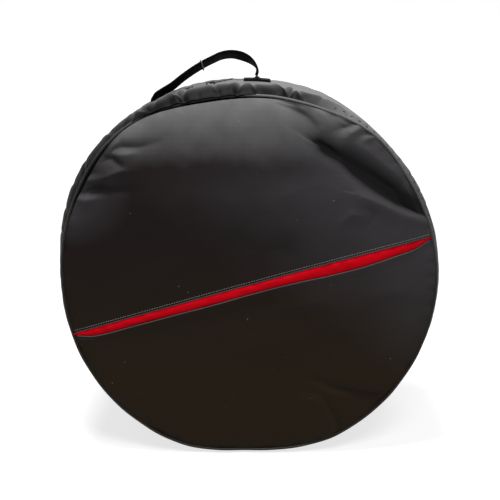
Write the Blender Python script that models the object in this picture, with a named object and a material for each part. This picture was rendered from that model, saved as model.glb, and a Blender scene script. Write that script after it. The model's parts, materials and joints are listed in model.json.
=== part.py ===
"""Round padded snare drum bag, standing on its rim, rolled a little to one side."""

import math

import bmesh
import bpy
from mathutils import Matrix, Vector

# Whole bag
OUTER_RADIUS = 0.200
HALF_DEPTH = 0.090
CROWN = 0.006
FLAT_HALF_ANGLE = math.radians(15.0)
BAG_ROLL = math.radians(14.5)
POCKET_TILT = math.radians(15.6)

# Walls, from outside in
FABRIC = 0.0010
ZIP_TAPE = 0.0006
FOAM = 0.0060
LINING = 0.0008
CLEARANCE = 0.0003

# Seams
SEAM_INSET = 0.004
SHOULDER = 0.012
PIPING_RADIUS = 0.0018
BINDING_WIDTH = 0.006
BINDING_THICKNESS = 0.0010

# Zip round the wall, and the web left uncut at the floor
ZIP_SETBACK = 0.040
COIL_WIDTH = 0.0032
FABRIC_TO_COIL = 0.0026
TAPE_WIDTH = 0.014
WEB_HALF_ANGLE = math.radians(25.0)
END_TAB_ANGLE = math.radians(5.0)
END_TAB_WIDTH = 0.020

# Slider and pull tab
SLIDER_LENGTH = 0.014
SLIDER_WIDTH = 0.010
SLIDER_HEIGHT = 0.003
SLIDER_SKEW = 0.001
SLIDER_RUN_GAP = 0.0008
SLIDER_HALF_SPREAD = math.radians(3.2)
PULL_LENGTH = 0.024
PULL_WIDTH = 0.006
PULL_THICKNESS = 0.0012

# Slash pocket on the front, in the bag's own upright frame
HEM_DROP = 0.0050
MOUTH_GAP = 0.0115
POCKET_LINER = 0.0006
HEM_WIDTH = 0.008
HEM_THICKNESS = 0.0008

# Webbing handle
HANDLE_HALF_ANGLE = math.radians(17.0)
HANDLE_LEAN = math.radians(24.0)
HANDLE_RISE = 0.040
HANDLE_PLACE = 0.015
STRAP_WIDTH = 0.025
STRAP_END_WIDTH = 0.005
STRAP_THICKNESS = 0.003
STRAP_ROOT_RADIUS = 0.0025
PATCH_SIDE = 0.030
PATCH_THICKNESS = 0.0015
KEEPER_WIDTH = 0.0012
KEEPER_THICKNESS = 0.0007

# The strap's line between its sewn ends: how far along, how high, how wide
STRAP_ALONG_SHARES = (0.0, 0.012, 0.05, 0.12, 0.22, 0.34, 0.46, 0.58, 0.68, 0.77, 0.86, 0.93, 0.975, 0.995, 1.0)
STRAP_RISE_SHARES = (0.0, 0.11, 0.22, 0.34, 0.50, 0.68, 0.84, 0.96, 1.0, 0.97, 0.84, 0.60, 0.34, 0.13, 0.0)
STRAP_WIDTH_SHARES = (0.0, 0.05, 0.25, 0.6, 1.0, 1.0, 1.0, 1.0, 1.0, 1.0, 0.9, 0.7, 0.4, 0.1, 0.0)
KEEPER_SHARE = 0.42

# Facets
RIM_STEPS = 72
PIPE_SIDES = 6
PANEL_COLUMNS = 30
PANEL_ROWS = 5
DISC_RING_SHARES = (0.30, 0.60, 0.84, 1.0)

FULL_TURN = 2.0 * math.pi
DOWN = math.radians(270.0)
CENTRE_HEIGHT = OUTER_RADIUS * math.cos(FLAT_HALF_ANGLE)
SEAM_Y = HALF_DEPTH - CROWN
ZIP_Y = -SEAM_Y + ZIP_SETBACK
HANDLE_ANGLE = math.radians(90.0) + BAG_ROLL
WALL_SHOULDER_Y = SEAM_Y - SHOULDER
FOAM_INSET = FABRIC + ZIP_TAPE + 2 * CLEARANCE
LINING_INSET = FOAM_INSET + FOAM + CLEARANCE
INNER_INSET = LINING_INSET + LINING
PANEL_INSET = SEAM_INSET + PIPING_RADIUS + CLEARANCE
WEB_START = DOWN - WEB_HALF_ANGLE
WEB_END = DOWN + WEB_HALF_ANGLE


def clear_scene():
    for item in list(bpy.data.objects):
        bpy.data.objects.remove(item, do_unlink=True)


def material(name, colour, roughness, metallic=0.0):
    """One Principled material, made once for each name."""
    made = bpy.data.materials.get(name)
    if made is None:
        made = bpy.data.materials.new(name)
        made.use_nodes = True
        shader = made.node_tree.nodes["Principled BSDF"]
        shader.inputs["Base Color"].default_value = (*colour, 1.0)
        shader.inputs["Roughness"].default_value = roughness
        shader.inputs["Metallic"].default_value = metallic
    return made


FINISHES = {
    "shell": ((0.035, 0.033, 0.034), 0.62, 0.0),
    "piping": ((0.16, 0.15, 0.13), 0.55, 0.0),
    "foam": ((0.20, 0.20, 0.21), 0.95, 0.0),
    "lining": ((0.05, 0.05, 0.055), 0.80, 0.0),
    "pocket_liner": ((0.60, 0.01, 0.03), 0.60, 0.0),
    "hem": ((0.06, 0.06, 0.06), 0.65, 0.0),
    "webbing": ((0.015, 0.015, 0.016), 0.75, 0.0),
    "thread": ((0.55, 0.55, 0.55), 0.60, 0.0),
    "zip": ((0.03, 0.03, 0.03), 0.45, 0.0),
    "slider": ((0.12, 0.12, 0.125), 0.35, 1.0),
}


def finish_mesh(name, verts, faces, finish, smooth_angle=40.0):
    """Merge what meets, face everything outwards, and name the object."""
    mesh = bpy.data.meshes.new(name)
    mesh.from_pydata([tuple(v) for v in verts], [], faces)
    shape = bmesh.new()
    shape.from_mesh(mesh)
    bmesh.ops.remove_doubles(shape, verts=shape.verts, dist=CLEARANCE / 100)
    bmesh.ops.dissolve_degenerate(shape, edges=shape.edges, dist=CLEARANCE / 100)
    bmesh.ops.recalc_face_normals(shape, faces=shape.faces)
    shape.to_mesh(mesh)
    shape.free()
    mesh.shade_smooth()
    mesh.set_sharp_from_angle(angle=math.radians(smooth_angle))
    mesh.materials.append(material(finish, *FINISHES[finish]))
    item = bpy.data.objects.new(name, mesh)
    bpy.context.scene.collection.objects.link(item)
    return item


def rim_point(angle, inset):
    """A point on the bag's outline, moved inwards by inset: a circle with a flat on the floor."""
    from_down = math.remainder(angle - DOWN, FULL_TURN)
    if abs(from_down) < FLAT_HALF_ANGLE:
        corner = OUTER_RADIUS * math.sin(FLAT_HALF_ANGLE)
        inner_corner = corner - inset * math.tan(FLAT_HALF_ANGLE / 2)
        reach = CENTRE_HEIGHT * math.tan(from_down)
        return Vector((reach * inner_corner / corner, 0.0, inset))
    if abs(abs(from_down) - FLAT_HALF_ANGLE) < CLEARANCE:
        inner_corner = OUTER_RADIUS * math.sin(FLAT_HALF_ANGLE) - inset * math.tan(FLAT_HALF_ANGLE / 2)
        return Vector((math.copysign(inner_corner, from_down), 0.0, inset))
    radius = OUTER_RADIUS - inset
    return Vector((radius * math.cos(angle), 0.0, CENTRE_HEIGHT + radius * math.sin(angle)))


def angles_between(start, stop):
    """The rim's regular angles between two angles, with the two ends themselves."""
    step = FULL_TURN / RIM_STEPS
    first = math.floor(start / step + 1e-6) + 1
    last = math.ceil(stop / step - 1e-6) - 1
    return [start] + [step * count for count in range(first, last + 1)] + [stop]


def band(name, outer, inner, finish, start=None, stop=None):
    """A wall swept round the rim; outer and inner are equal lists of (inset, y)."""
    closed = start is None
    if closed:
        angles = [FULL_TURN * count / RIM_STEPS for count in range(RIM_STEPS)]
    else:
        angles = angles_between(start, stop)
    ring = outer + inner[::-1]
    verts = []
    for angle in angles:
        for inset, y in ring:
            verts.append(rim_point(angle, inset) + Vector((0.0, y, 0.0)))
    size = len(ring)
    faces = []
    spans = len(angles) if closed else len(angles) - 1
    for span in range(spans):
        here = span * size
        there = ((span + 1) % len(angles)) * size
        for side in range(size):
            after = (side + 1) % size
            faces.append((here + side, here + after, there + after, there + side))
    if not closed:
        for base in (0, (len(angles) - 1) * size):
            for side in range(len(outer) - 1):
                opposite = size - 1 - side
                faces.append((base + side, base + side + 1, base + opposite - 1, base + opposite))
    return finish_mesh(name, verts, faces, finish)


def flat_band(name, inset, thickness, y_low, y_high, finish, start=None, stop=None):
    outer = [(inset, y_low), (inset, y_high)]
    inner = [(inset + thickness, y_low), (inset + thickness, y_high)]
    return band(name, outer, inner, finish, start, stop)


def piping(name, y, finish):
    """A round cord in its fabric, right round the seam."""
    verts = []
    faces = []
    for count in range(RIM_STEPS):
        angle = FULL_TURN * count / RIM_STEPS
        for side in range(PIPE_SIDES):
            turn = FULL_TURN * (side + 0.5) / PIPE_SIDES
            inset = SEAM_INSET + PIPING_RADIUS * math.cos(turn)
            verts.append(rim_point(angle, inset) + Vector((0.0, y + PIPING_RADIUS * math.sin(turn), 0.0)))
            after = (side + 1) % PIPE_SIDES
            here = count * PIPE_SIDES
            there = ((count + 1) % RIM_STEPS) * PIPE_SIDES
            faces.append((here + side, here + after, there + after, there + side))
    return finish_mesh(name, verts, faces, finish, 80.0)


def crown_at(point):
    """How far the slack panel stands out at a point: CROWN in the middle, nothing at the seam."""
    centre = Vector((0.0, 0.0, CENTRE_HEIGHT))
    offset = Vector((point.x, 0.0, point.z)) - centre
    if offset.length < CLEARANCE:
        return CROWN
    rim = rim_point(math.atan2(offset.z, offset.x), PANEL_INSET) - centre
    share = min(offset.length / rim.length, 1.0)
    return CROWN * (1.0 - share * share)


def disc(name, inset, y_out, y_in, finish, crowned=False, ring_shares=(1.0,)):
    """A round panel; y_out is its outer face and y_in its inner face, both on one side of the middle."""
    side = math.copysign(1.0, y_out)
    centre = Vector((0.0, 0.0, CENTRE_HEIGHT))
    verts = []
    faces = []
    for y in (y_out, y_in):
        base = len(verts)
        lift = side * CROWN if crowned else 0.0
        verts.append(centre + Vector((0.0, y + lift, 0.0)))
        for share in ring_shares:
            for count in range(RIM_STEPS):
                point = centre + share * (rim_point(FULL_TURN * count / RIM_STEPS, inset) - centre)
                lift = side * crown_at(point) if crowned else 0.0
                verts.append(point + Vector((0.0, y + lift, 0.0)))
        for count in range(RIM_STEPS):
            after = (count + 1) % RIM_STEPS
            faces.append((base, base + 1 + count, base + 1 + after))
            for ring in range(len(ring_shares) - 1):
                low = base + 1 + ring * RIM_STEPS
                high = low + RIM_STEPS
                faces.append((low + count, high + count, high + after, low + after))
    half = len(verts) // 2
    edge = 1 + (len(ring_shares) - 1) * RIM_STEPS
    for count in range(RIM_STEPS):
        after = (count + 1) % RIM_STEPS
        faces.append((edge + count, edge + after, half + edge + after, half + edge + count))
    return finish_mesh(name, verts, faces, finish)


def sheet(name, grid, y_out, y_in, finish):
    """A closed sheet over a grid of (x, z) points; y_out and y_in give its two faces."""
    rows = len(grid)
    columns = len(grid[0])
    verts = [Vector((p.x, y_out(p), p.z)) for row in grid for p in row]
    verts += [Vector((p.x, y_in(p), p.z)) for row in grid for p in row]
    under = rows * columns
    faces = []
    for row in range(rows - 1):
        for column in range(columns - 1):
            a = row * columns + column
            quad = (a, a + 1, a + 1 + columns, a + columns)
            faces.append(quad)
            faces.append(tuple(under + corner for corner in quad))
    border = [column for column in range(columns)]
    border += [row * columns + columns - 1 for row in range(1, rows)]
    border += [(rows - 1) * columns + column for column in range(columns - 2, -1, -1)]
    border += [row * columns for row in range(rows - 2, 0, -1)]
    for index, corner in enumerate(border):
        after = border[(index + 1) % len(border)]
        faces.append((corner, after, under + after, under + corner))
    return finish_mesh(name, verts, faces, finish)


def own_frame(along, up):
    """A point on the front given along and across the pocket's line, from the disc's middle."""
    cos, sin = math.cos(POCKET_TILT), math.sin(POCKET_TILT)
    return Vector((along * cos - up * sin, 0.0, CENTRE_HEIGHT + along * sin + up * cos))


def hem_half_length(drop):
    radius = OUTER_RADIUS - PANEL_INSET
    return math.sqrt(radius * radius - drop * drop)


def mouth_drop(along):
    """The pocket's free edge hangs slack below the hem, and meets it at both ends."""
    share = along / hem_half_length(HEM_DROP)
    return HEM_DROP + MOUTH_GAP * max(0.0, 1.0 - share ** 4)


def panel_grid(edge_point, arc_start, arc_stop, inset):
    """Columns from the pocket's line to the seam, right to left for the top and left to right below."""
    grid = []
    for row in range(PANEL_ROWS + 1):
        line = []
        for column in range(PANEL_COLUMNS + 1):
            share = column / PANEL_COLUMNS
            angle = arc_start + (arc_stop - arc_start) * share
            eased = 0.5 - 0.5 * math.cos(math.pi * share)
            inner = edge_point(eased)
            line.append(inner.lerp(rim_point(angle, inset), row / PANEL_ROWS))
        grid.append(line)
    return grid


def front_surface(depth):
    """The slack front's face, depth behind its outer side."""
    return lambda point: -SEAM_Y - crown_at(point) + depth


def flat_surface(y):
    return lambda point: y


def make_front():
    half = hem_half_length(HEM_DROP)
    radius = OUTER_RADIUS - PANEL_INSET
    dip = math.asin(HEM_DROP / radius)
    right = POCKET_TILT - dip
    left = math.pi + POCKET_TILT + dip

    def hem(share):
        return own_frame(half * (1.0 - 2.0 * share), -HEM_DROP)

    def mouth(share):
        along = -half * (1.0 - 2.0 * share)
        return own_frame(along, -mouth_drop(along))

    def liner_top(share):
        return own_frame(-half * (1.0 - 2.0 * share), -HEM_DROP)

    upper = panel_grid(hem, right, left, PANEL_INSET)
    lower = panel_grid(mouth, left, right + FULL_TURN, PANEL_INSET)
    liner = panel_grid(liner_top, left, right + FULL_TURN, PANEL_INSET)
    sheet("front_upper_panel", upper, front_surface(0.0), front_surface(FABRIC), "shell")
    sheet("pocket_front", lower, front_surface(0.0), front_surface(FABRIC), "shell")
    liner_y = -SEAM_Y + FABRIC + CLEARANCE
    sheet("pocket_back", liner, flat_surface(liner_y), flat_surface(liner_y + POCKET_LINER), "pocket_liner")
    strip("pocket_hem", half, lambda along: -HEM_DROP, 1.0, "hem")
    strip("pocket_mouth_binding", half, lambda along: -mouth_drop(along), -1.0, "hem")


def strip(name, half, edge, side, finish):
    """A narrow doubled hem behind a panel's free edge, as far out as the crown leaves room for it."""
    reach = half * math.sqrt(1.0 - (HEM_THICKNESS + 2 * CLEARANCE) / CROWN)
    grid = []
    for row in range(2):
        line = []
        for column in range(PANEL_COLUMNS + 1):
            along = reach * (1.0 - 2.0 * column / PANEL_COLUMNS)
            line.append(own_frame(along, edge(along) + side * HEM_WIDTH * row))
        grid.append(line)
    outer = FABRIC + CLEARANCE
    sheet(name, grid, front_surface(outer), front_surface(outer + HEM_THICKNESS), finish)


def make_discs():
    foam_out = SEAM_Y - FABRIC - POCKET_LINER - 2 * CLEARANCE
    foam_in = foam_out - FOAM
    lining_out = foam_in - CLEARANCE
    lining_in = lining_out - LINING
    for name, side in (("front", -1.0), ("back", 1.0)):
        disc(name + "_foam", PANEL_INSET, side * foam_out, side * foam_in, "foam")
        disc(name + "_lining", PANEL_INSET, side * lining_out, side * lining_in, "lining")
        piping(name + "_piping", side * SEAM_Y, "piping")
    disc("back_panel", PANEL_INSET, SEAM_Y, SEAM_Y - FABRIC, "shell", True, DISC_RING_SHARES)
    return lining_in


def wall_profile(from_y, to_y, inset):
    """The wall's face between two depths, drawn in to the seams over the shoulders."""
    drawn = SEAM_INSET - FABRIC
    line = [(inset, from_y), (inset, to_y)]
    edge = SEAM_Y - PIPING_RADIUS - CLEARANCE
    if from_y < -WALL_SHOULDER_Y:
        line = [(inset + drawn, -edge), (inset, -WALL_SHOULDER_Y)] + line[1:]
    if to_y > WALL_SHOULDER_Y:
        line = line[:-1] + [(inset, WALL_SHOULDER_Y), (inset + drawn, edge)]
    return line


def make_walls(lining_in):
    """The lid's skirt, the body's wall and the uncut web, each as fabric, foam and lining."""
    skirt_y = ZIP_Y - COIL_WIDTH - FABRIC_TO_COIL
    wall_y = ZIP_Y + COIL_WIDTH + FABRIC_TO_COIL
    gap = CLEARANCE / OUTER_RADIUS
    skirt = (WEB_END + gap - FULL_TURN, WEB_START - gap)
    web = (WEB_START + gap, WEB_END - gap)
    front_edge = -SEAM_Y + PIPING_RADIUS + CLEARANCE
    half_gap = CLEARANCE / 2
    front = -lining_in + CLEARANCE

    outer = wall_profile(-SEAM_Y, skirt_y, 0.0)
    inner = wall_profile(-SEAM_Y, skirt_y, FABRIC)
    band("lid_skirt", outer, inner, "shell", *skirt)
    flat_band("lid_skirt_foam", FOAM_INSET, FOAM, front, ZIP_Y - half_gap, "foam", *skirt)
    flat_band("lid_skirt_lining", LINING_INSET, LINING, front, ZIP_Y - half_gap, "lining", *skirt)

    outer = wall_profile(wall_y, SEAM_Y, 0.0)
    inner = wall_profile(wall_y, SEAM_Y, FABRIC)
    band("body_wall", outer, inner, "shell")
    flat_band("body_wall_foam", FOAM_INSET, FOAM, ZIP_Y + half_gap, -front, "foam")
    flat_band("body_wall_lining", LINING_INSET, LINING, ZIP_Y + half_gap, -front, "lining")

    flat_band("hinge_web", 0.0, FABRIC, front_edge, wall_y - CLEARANCE, "shell", *web)
    flat_band("hinge_web_foam", FOAM_INSET, FOAM, front, ZIP_Y - half_gap, "foam", *web)
    flat_band("hinge_web_lining", LINING_INSET, LINING, front, ZIP_Y - half_gap, "lining", *web)


def make_bindings(lining_in):
    """Tapes that cover the seams inside, each on its own disc."""
    near = lining_in - CLEARANCE
    inset = INNER_INSET + CLEARANCE
    for name, side in (("front_seam_binding", -1.0), ("back_seam_binding", 1.0)):
        y_near = side * near
        y_far = side * (near - BINDING_WIDTH)
        flat_band(name, inset, BINDING_THICKNESS, min(y_near, y_far), max(y_near, y_far), "hem")


def make_zip():
    """Two tapes with a coil on each, from one end of the web round to the other."""
    gap = CLEARANCE / OUTER_RADIUS
    run = (WEB_END + gap - FULL_TURN, WEB_START - gap)
    tape_inset = FABRIC + CLEARANCE
    half_gap = CLEARANCE / 2
    for name, side in (("lid", -1.0), ("body", 1.0)):
        inner = ZIP_Y + side * half_gap
        tape = ZIP_Y + side * TAPE_WIDTH
        coil = ZIP_Y + side * COIL_WIDTH
        flat_band("zip_tape_" + name, tape_inset, ZIP_TAPE, min(inner, tape), max(inner, tape), "zip", *run)
        flat_band("zip_coil_" + name, 0.0, FABRIC, min(inner, coil), max(inner, coil), "zip", *run)
    low = ZIP_Y - END_TAB_WIDTH / 2
    high = ZIP_Y + END_TAB_WIDTH / 2
    tabs = (("zip_end_tab_left", WEB_START + gap), ("zip_end_tab_right", WEB_END - gap - END_TAB_ANGLE))
    for name, start in tabs:
        flat_band(name, -CLEARANCE - FABRIC, FABRIC, low, high, "shell", start, start + END_TAB_ANGLE)


def rim_frame(angle, radius, y):
    """A frame on the rim: x along the rim to the left of the outward z, y towards the back."""
    outward = Vector((math.cos(angle), 0.0, math.sin(angle)))
    depth = Vector((0.0, 1.0, 0.0))
    along = depth.cross(outward)
    frame = Matrix((along, depth, outward)).transposed().to_4x4()
    frame.translation = Vector((0.0, y, CENTRE_HEIGHT)) + outward * radius
    return frame


def block(name, frame, low, high, finish):
    """A straight-sided block between two corners of a local frame, its origin on that frame."""
    xs, ys, zs = zip(low, high)
    verts = [Vector((x, y, z)) for x in xs for y in ys for z in zs]
    faces = [(0, 1, 3, 2), (4, 6, 7, 5), (0, 4, 5, 1), (2, 3, 7, 6), (0, 2, 6, 4), (1, 5, 7, 3)]
    item = finish_mesh(name, verts, faces, finish)
    item.matrix_world = frame
    return item


def make_sliders():
    """Two sliders that meet above the web, each with a tab on a pivot over its middle."""
    base = OUTER_RADIUS + SLIDER_RUN_GAP
    pivot = base + SLIDER_HEIGHT + CLEARANCE + PULL_THICKNESS / 2
    for name, side in (("right", 1.0), ("left", -1.0)):
        angle = HANDLE_ANGLE - side * SLIDER_HALF_SPREAD
        frame = rim_frame(angle, base, ZIP_Y + SLIDER_SKEW)
        low = (-SLIDER_LENGTH / 2, -SLIDER_WIDTH / 2, 0.0)
        high = (SLIDER_LENGTH / 2, SLIDER_WIDTH / 2, SLIDER_HEIGHT)
        block("zip_slider_" + name, frame, low, high, "slider")
        frame = rim_frame(angle, pivot, ZIP_Y + SLIDER_SKEW)
        far = side * PULL_LENGTH
        low = (min(0.0, far), -PULL_WIDTH / 2, -PULL_THICKNESS / 2)
        high = (max(0.0, far), PULL_WIDTH / 2, PULL_THICKNESS / 2)
        block("pull_tab_" + name, frame, low, high, "slider")


def make_patches():
    """Each strap end is folded over and sewn down on a square patch."""
    base = OUTER_RADIUS + CLEARANCE
    half = PATCH_SIDE / 2
    edge_drop = (OUTER_RADIUS - math.sqrt(OUTER_RADIUS ** 2 - half ** 2)) / 2
    for name, side in (("right", 1.0), ("left", -1.0)):
        angle = HANDLE_ANGLE - side * HANDLE_HALF_ANGLE
        frame = rim_frame(angle, base, HANDLE_PLACE)
        root = STRAP_ROOT_RADIUS
        outline = [(-half, -edge_drop), (0.0, 0.0), (half, -edge_drop)]
        outline += [(half, PATCH_THICKNESS - edge_drop), (root, PATCH_THICKNESS)]
        for step in range(1, PIPE_SIDES):
            turn = math.pi * step / PIPE_SIDES
            outline.append((root * math.cos(turn), PATCH_THICKNESS + root * math.sin(turn)))
        outline += [(-root, PATCH_THICKNESS), (-half, PATCH_THICKNESS - edge_drop)]
        make_patch("handle_patch_" + name, frame, outline, half)


def make_patch(name, frame, outline, half):
    """The fold is only as wide as the strap's end and slopes down at both sides, so the strap can lie over."""
    reach = STRAP_END_WIDTH / 2
    slope = reach + STRAP_ROOT_RADIUS
    depths = (-half, -slope, -reach, reach, slope, half)
    verts = []
    for depth in depths:
        top = PATCH_THICKNESS + STRAP_ROOT_RADIUS if abs(depth) <= reach else PATCH_THICKNESS
        for along, height in outline:
            verts.append(Vector((along, depth, min(height, top))))
    size = len(outline)
    last = (len(depths) - 1) * size
    faces = [tuple(range(size)), tuple(range(last, last + size))]
    for row in range(len(depths) - 1):
        for index in range(size):
            after = (index + 1) % size
            here = row * size
            faces.append((here + index, here + after, here + size + after, here + size + index))
    item = finish_mesh(name, verts, faces, "webbing")
    item.matrix_world = frame
    return item


def strap_frame():
    """The handle's own frame: x from its left end to its right, z up as it leans, origin on the swing axis."""
    radius = OUTER_RADIUS + CLEARANCE + PATCH_THICKNESS
    ends = []
    for side in (-1.0, 1.0):
        ends.append(rim_frame(HANDLE_ANGLE - side * HANDLE_HALF_ANGLE, radius, HANDLE_PLACE).translation)
    left, right = ends
    along = (right - left).normalized()
    depth = Vector((0.0, 1.0, 0.0))
    outward = along.cross(depth)
    frame = Matrix((along, depth, outward)).transposed().to_4x4()
    frame.translation = (left + right) / 2
    return frame @ Matrix.Rotation(-HANDLE_LEAN, 4, "X"), (right - left).length


def strap_line(length):
    """The strap's middle line, smoothed through its shares, with its width at each point."""
    line = []
    steps = 2
    count = len(STRAP_ALONG_SHARES)
    for index in range(count - 1):
        for part in range(steps):
            share = part / steps
            line.append(strap_point(index, share, length))
    line.append(strap_point(count - 2, 1.0, length))
    return line


def strap_point(index, share, length):
    def mix(shares):
        before = shares[max(index - 1, 0)]
        a, b = shares[index], shares[index + 1]
        after = shares[min(index + 2, len(shares) - 1)]
        curve = a + 0.5 * share * (b - before + share * (2 * before - 5 * a + 4 * b - after
                                   + share * (3 * (a - b) + after - before)))
        return min(max(curve, 0.0), 1.0)
    lift = STRAP_ROOT_RADIUS + CLEARANCE + STRAP_THICKNESS / 2
    along = (mix(STRAP_ALONG_SHARES) - 0.5) * length
    up = lift + mix(STRAP_RISE_SHARES) * HANDLE_RISE
    width = STRAP_END_WIDTH + (STRAP_WIDTH - STRAP_END_WIDTH) * mix(STRAP_WIDTH_SHARES)
    return along, up, width


def make_handle():
    frame, length = strap_frame()
    line = strap_line(length)
    strap = sweep("handle_strap", line, STRAP_THICKNESS, "webbing")
    strap.matrix_world = frame
    make_keeper(frame, line)


def sweep(name, line, thickness, finish):
    """A flat strap of changing width along a line in the x, z plane."""
    verts = []
    for index, (along, up, width) in enumerate(line):
        before = Vector(line[max(index - 1, 0)][:2])
        after = Vector(line[min(index + 1, len(line) - 1)][:2])
        run = (after - before).normalized()
        side = Vector((-run.y, run.x)) * thickness / 2
        for across in (-width / 2, width / 2):
            verts.append(Vector((along + side.x, across, up + side.y)))
        for across in (width / 2, -width / 2):
            verts.append(Vector((along - side.x, across, up - side.y)))
    faces = [(0, 1, 2, 3), tuple(range(len(verts) - 4, len(verts)))]
    for index in range(len(line) - 1):
        here = index * 4
        for corner in range(4):
            after = (corner + 1) % 4
            faces.append((here + corner, here + after, here + 4 + after, here + 4 + corner))
    return finish_mesh(name, verts, faces, finish)


def make_keeper(frame, line):
    """A pale thread tied round the strap, a square ring that clears it all round."""
    index = min(range(len(line)), key=lambda i: abs(i / (len(line) - 1) - KEEPER_SHARE))
    along, up, width = line[index]
    before, after = Vector(line[index - 1][:2]), Vector(line[index + 1][:2])
    run = (after - before).normalized()
    inner_w = width / 2 + CLEARANCE
    inner_t = STRAP_THICKNESS / 2 + CLEARANCE
    verts = []
    for shift in (-KEEPER_WIDTH / 2, KEEPER_WIDTH / 2):
        for grow in (0.0, KEEPER_THICKNESS):
            for across, out in ((-1, -1), (1, -1), (1, 1), (-1, 1)):
                height = out * (inner_t + grow)
                place = Vector((along, up)) + run * shift + Vector((-run.y, run.x)) * height
                verts.append(Vector((place.x, across * (inner_w + grow), place.y)))
    faces = []
    for corner in range(4):
        after_corner = (corner + 1) % 4
        for a, b in ((0, 4), (4, 12), (12, 8), (8, 0)):
            faces.append((a + corner, a + after_corner, b + after_corner, b + corner))
    item = finish_mesh("strap_thread", verts, faces, "thread")
    item.matrix_world = frame


def main():
    clear_scene()
    lining_in = make_discs()
    make_front()
    make_walls(lining_in)
    make_bindings(lining_in)
    make_zip()
    make_sliders()
    make_patches()
    make_handle()
    bpy.context.view_layer.update()


main()
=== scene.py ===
"""The looks of a round padded snare drum bag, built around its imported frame."""

import json
import math

import bmesh
import bpy
import numpy as np
from mathutils import Matrix, Vector, noise


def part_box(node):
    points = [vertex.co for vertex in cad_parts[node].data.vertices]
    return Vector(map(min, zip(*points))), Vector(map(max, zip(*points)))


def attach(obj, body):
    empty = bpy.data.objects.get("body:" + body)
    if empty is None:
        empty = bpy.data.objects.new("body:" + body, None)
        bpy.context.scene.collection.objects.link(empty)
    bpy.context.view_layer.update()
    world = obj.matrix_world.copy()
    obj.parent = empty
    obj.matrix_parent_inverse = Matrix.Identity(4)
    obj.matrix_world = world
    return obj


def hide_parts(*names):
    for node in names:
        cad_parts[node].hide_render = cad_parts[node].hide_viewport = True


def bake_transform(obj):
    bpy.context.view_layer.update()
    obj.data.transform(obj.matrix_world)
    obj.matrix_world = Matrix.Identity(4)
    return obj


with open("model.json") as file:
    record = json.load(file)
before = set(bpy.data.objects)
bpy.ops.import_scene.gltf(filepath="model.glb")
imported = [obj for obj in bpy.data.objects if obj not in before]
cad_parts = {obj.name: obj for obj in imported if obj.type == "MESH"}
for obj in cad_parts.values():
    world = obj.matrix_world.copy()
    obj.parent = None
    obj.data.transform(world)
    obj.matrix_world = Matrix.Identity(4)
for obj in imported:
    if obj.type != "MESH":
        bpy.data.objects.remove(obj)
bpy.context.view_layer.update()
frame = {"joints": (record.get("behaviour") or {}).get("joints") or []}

# Sizes read from the frame
wall_low, wall_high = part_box("body_wall")
piping_low, piping_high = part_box("front_piping")
patch_low, patch_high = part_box("handle_patch_left")
RADIUS = (wall_high.x - wall_low.x) / 2
CENTRE_Z = wall_high.z - RADIUS
SEAM_Y = -(piping_low.y + piping_high.y) / 2
SKIRT_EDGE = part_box("lid_skirt")[1].y
WALL_EDGE = wall_low.y
PATCH_Y = (patch_low.y + patch_high.y) / 2
JOINTS = {joint["name"]: joint for joint in frame["joints"]}

# Cloth and seams, in metres
FABRIC = 0.0010
LINER = 0.0006
GAP = 0.0004
SEAM_INSET = 0.004
SEAM_DRAWN_IN = 0.0058
SEAM_TURNED_IN = 0.0050
SLOT_DEPTH = 0.0065
PIPE_RADIUS = 0.0016
CORD_RADIUS = PIPE_RADIUS * 0.82
SHOULDER = 0.017
SKIRT_SWELL = 0.0045
WALL_SWELL = 0.0022
SEAM_FULLNESS = 0.0045
WALL_FULLNESS = 0.0085
FLOOR_EASE = 0.0035
CROWN = 0.0082
EDGE_RISE = 0.0008
DENT_LIMIT = 0.0042
TUCK_DEPTH = 0.0008
DARKEST_FOLD = 0.0060
FOLD_GAIN = 1.7
FOLD_SHARPNESS = 1.4

# Angles round the bag, from its right over the top; those named in degrees are in degrees
TURN = 2 * math.pi
DOWN = math.radians(270.0)
WEB_HALF = math.radians(25.0)
SKIRT_RUN = (DOWN + WEB_HALF - TURN, DOWN - WEB_HALF)
WEB_RUN = (DOWN - WEB_HALF + GAP / RADIUS, DOWN + WEB_HALF - GAP / RADIUS)
PATCH_DEGREES = (121.5, 87.5)
FULLEST_DEGREES = 140.0
FULL_SPREAD_DEGREES = 28.0

# Slash pocket, in the bag's own upright frame
POCKET_TILT = math.radians(15.6)
TILT_COS = math.cos(POCKET_TILT)
TILT_SIN = math.sin(POCKET_TILT)
HEM_DROP = 0.0058
HEM_BOW = 0.0024
MOUTH_END = 0.016
LIP = 0.0008
# How far the mouth hangs open: share of the way along from its middle, opening in metres
MOUTH_OPENING = [
    (-1.0, 0.0030), (-0.955, 0.0058), (-0.90, 0.0086), (-0.82, 0.0098), (-0.66, 0.0098), (-0.40, 0.0104),
    (-0.20, 0.0108), (0.06, 0.0105), (0.25, 0.0114), (0.41, 0.0130), (0.58, 0.0134), (0.70, 0.0124),
    (0.80, 0.0108), (0.88, 0.0098), (0.94, 0.0068), (1.0, 0.0030),
]

# The photograph's scale on the front, for placing folds
PHOTO_CENTRE_X = 249.0
PHOTO_CENTRE_Y = 280.0
METRES_PER_PIXEL_X = 0.001046
METRES_PER_PIXEL_Y = 0.001075
WIDTH_PER_PIXEL = 0.00105


def photo_point(px, py):
    """Where a pixel of the photograph lies on the front, as (x, z)."""
    return (px - PHOTO_CENTRE_X) * METRES_PER_PIXEL_X, CENTRE_Z + (PHOTO_CENTRE_Y - py) * METRES_PER_PIXEL_Y


def around(count):
    """Angles once round, without the last."""
    return np.linspace(0, TURN, count, endpoint=False)


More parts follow.
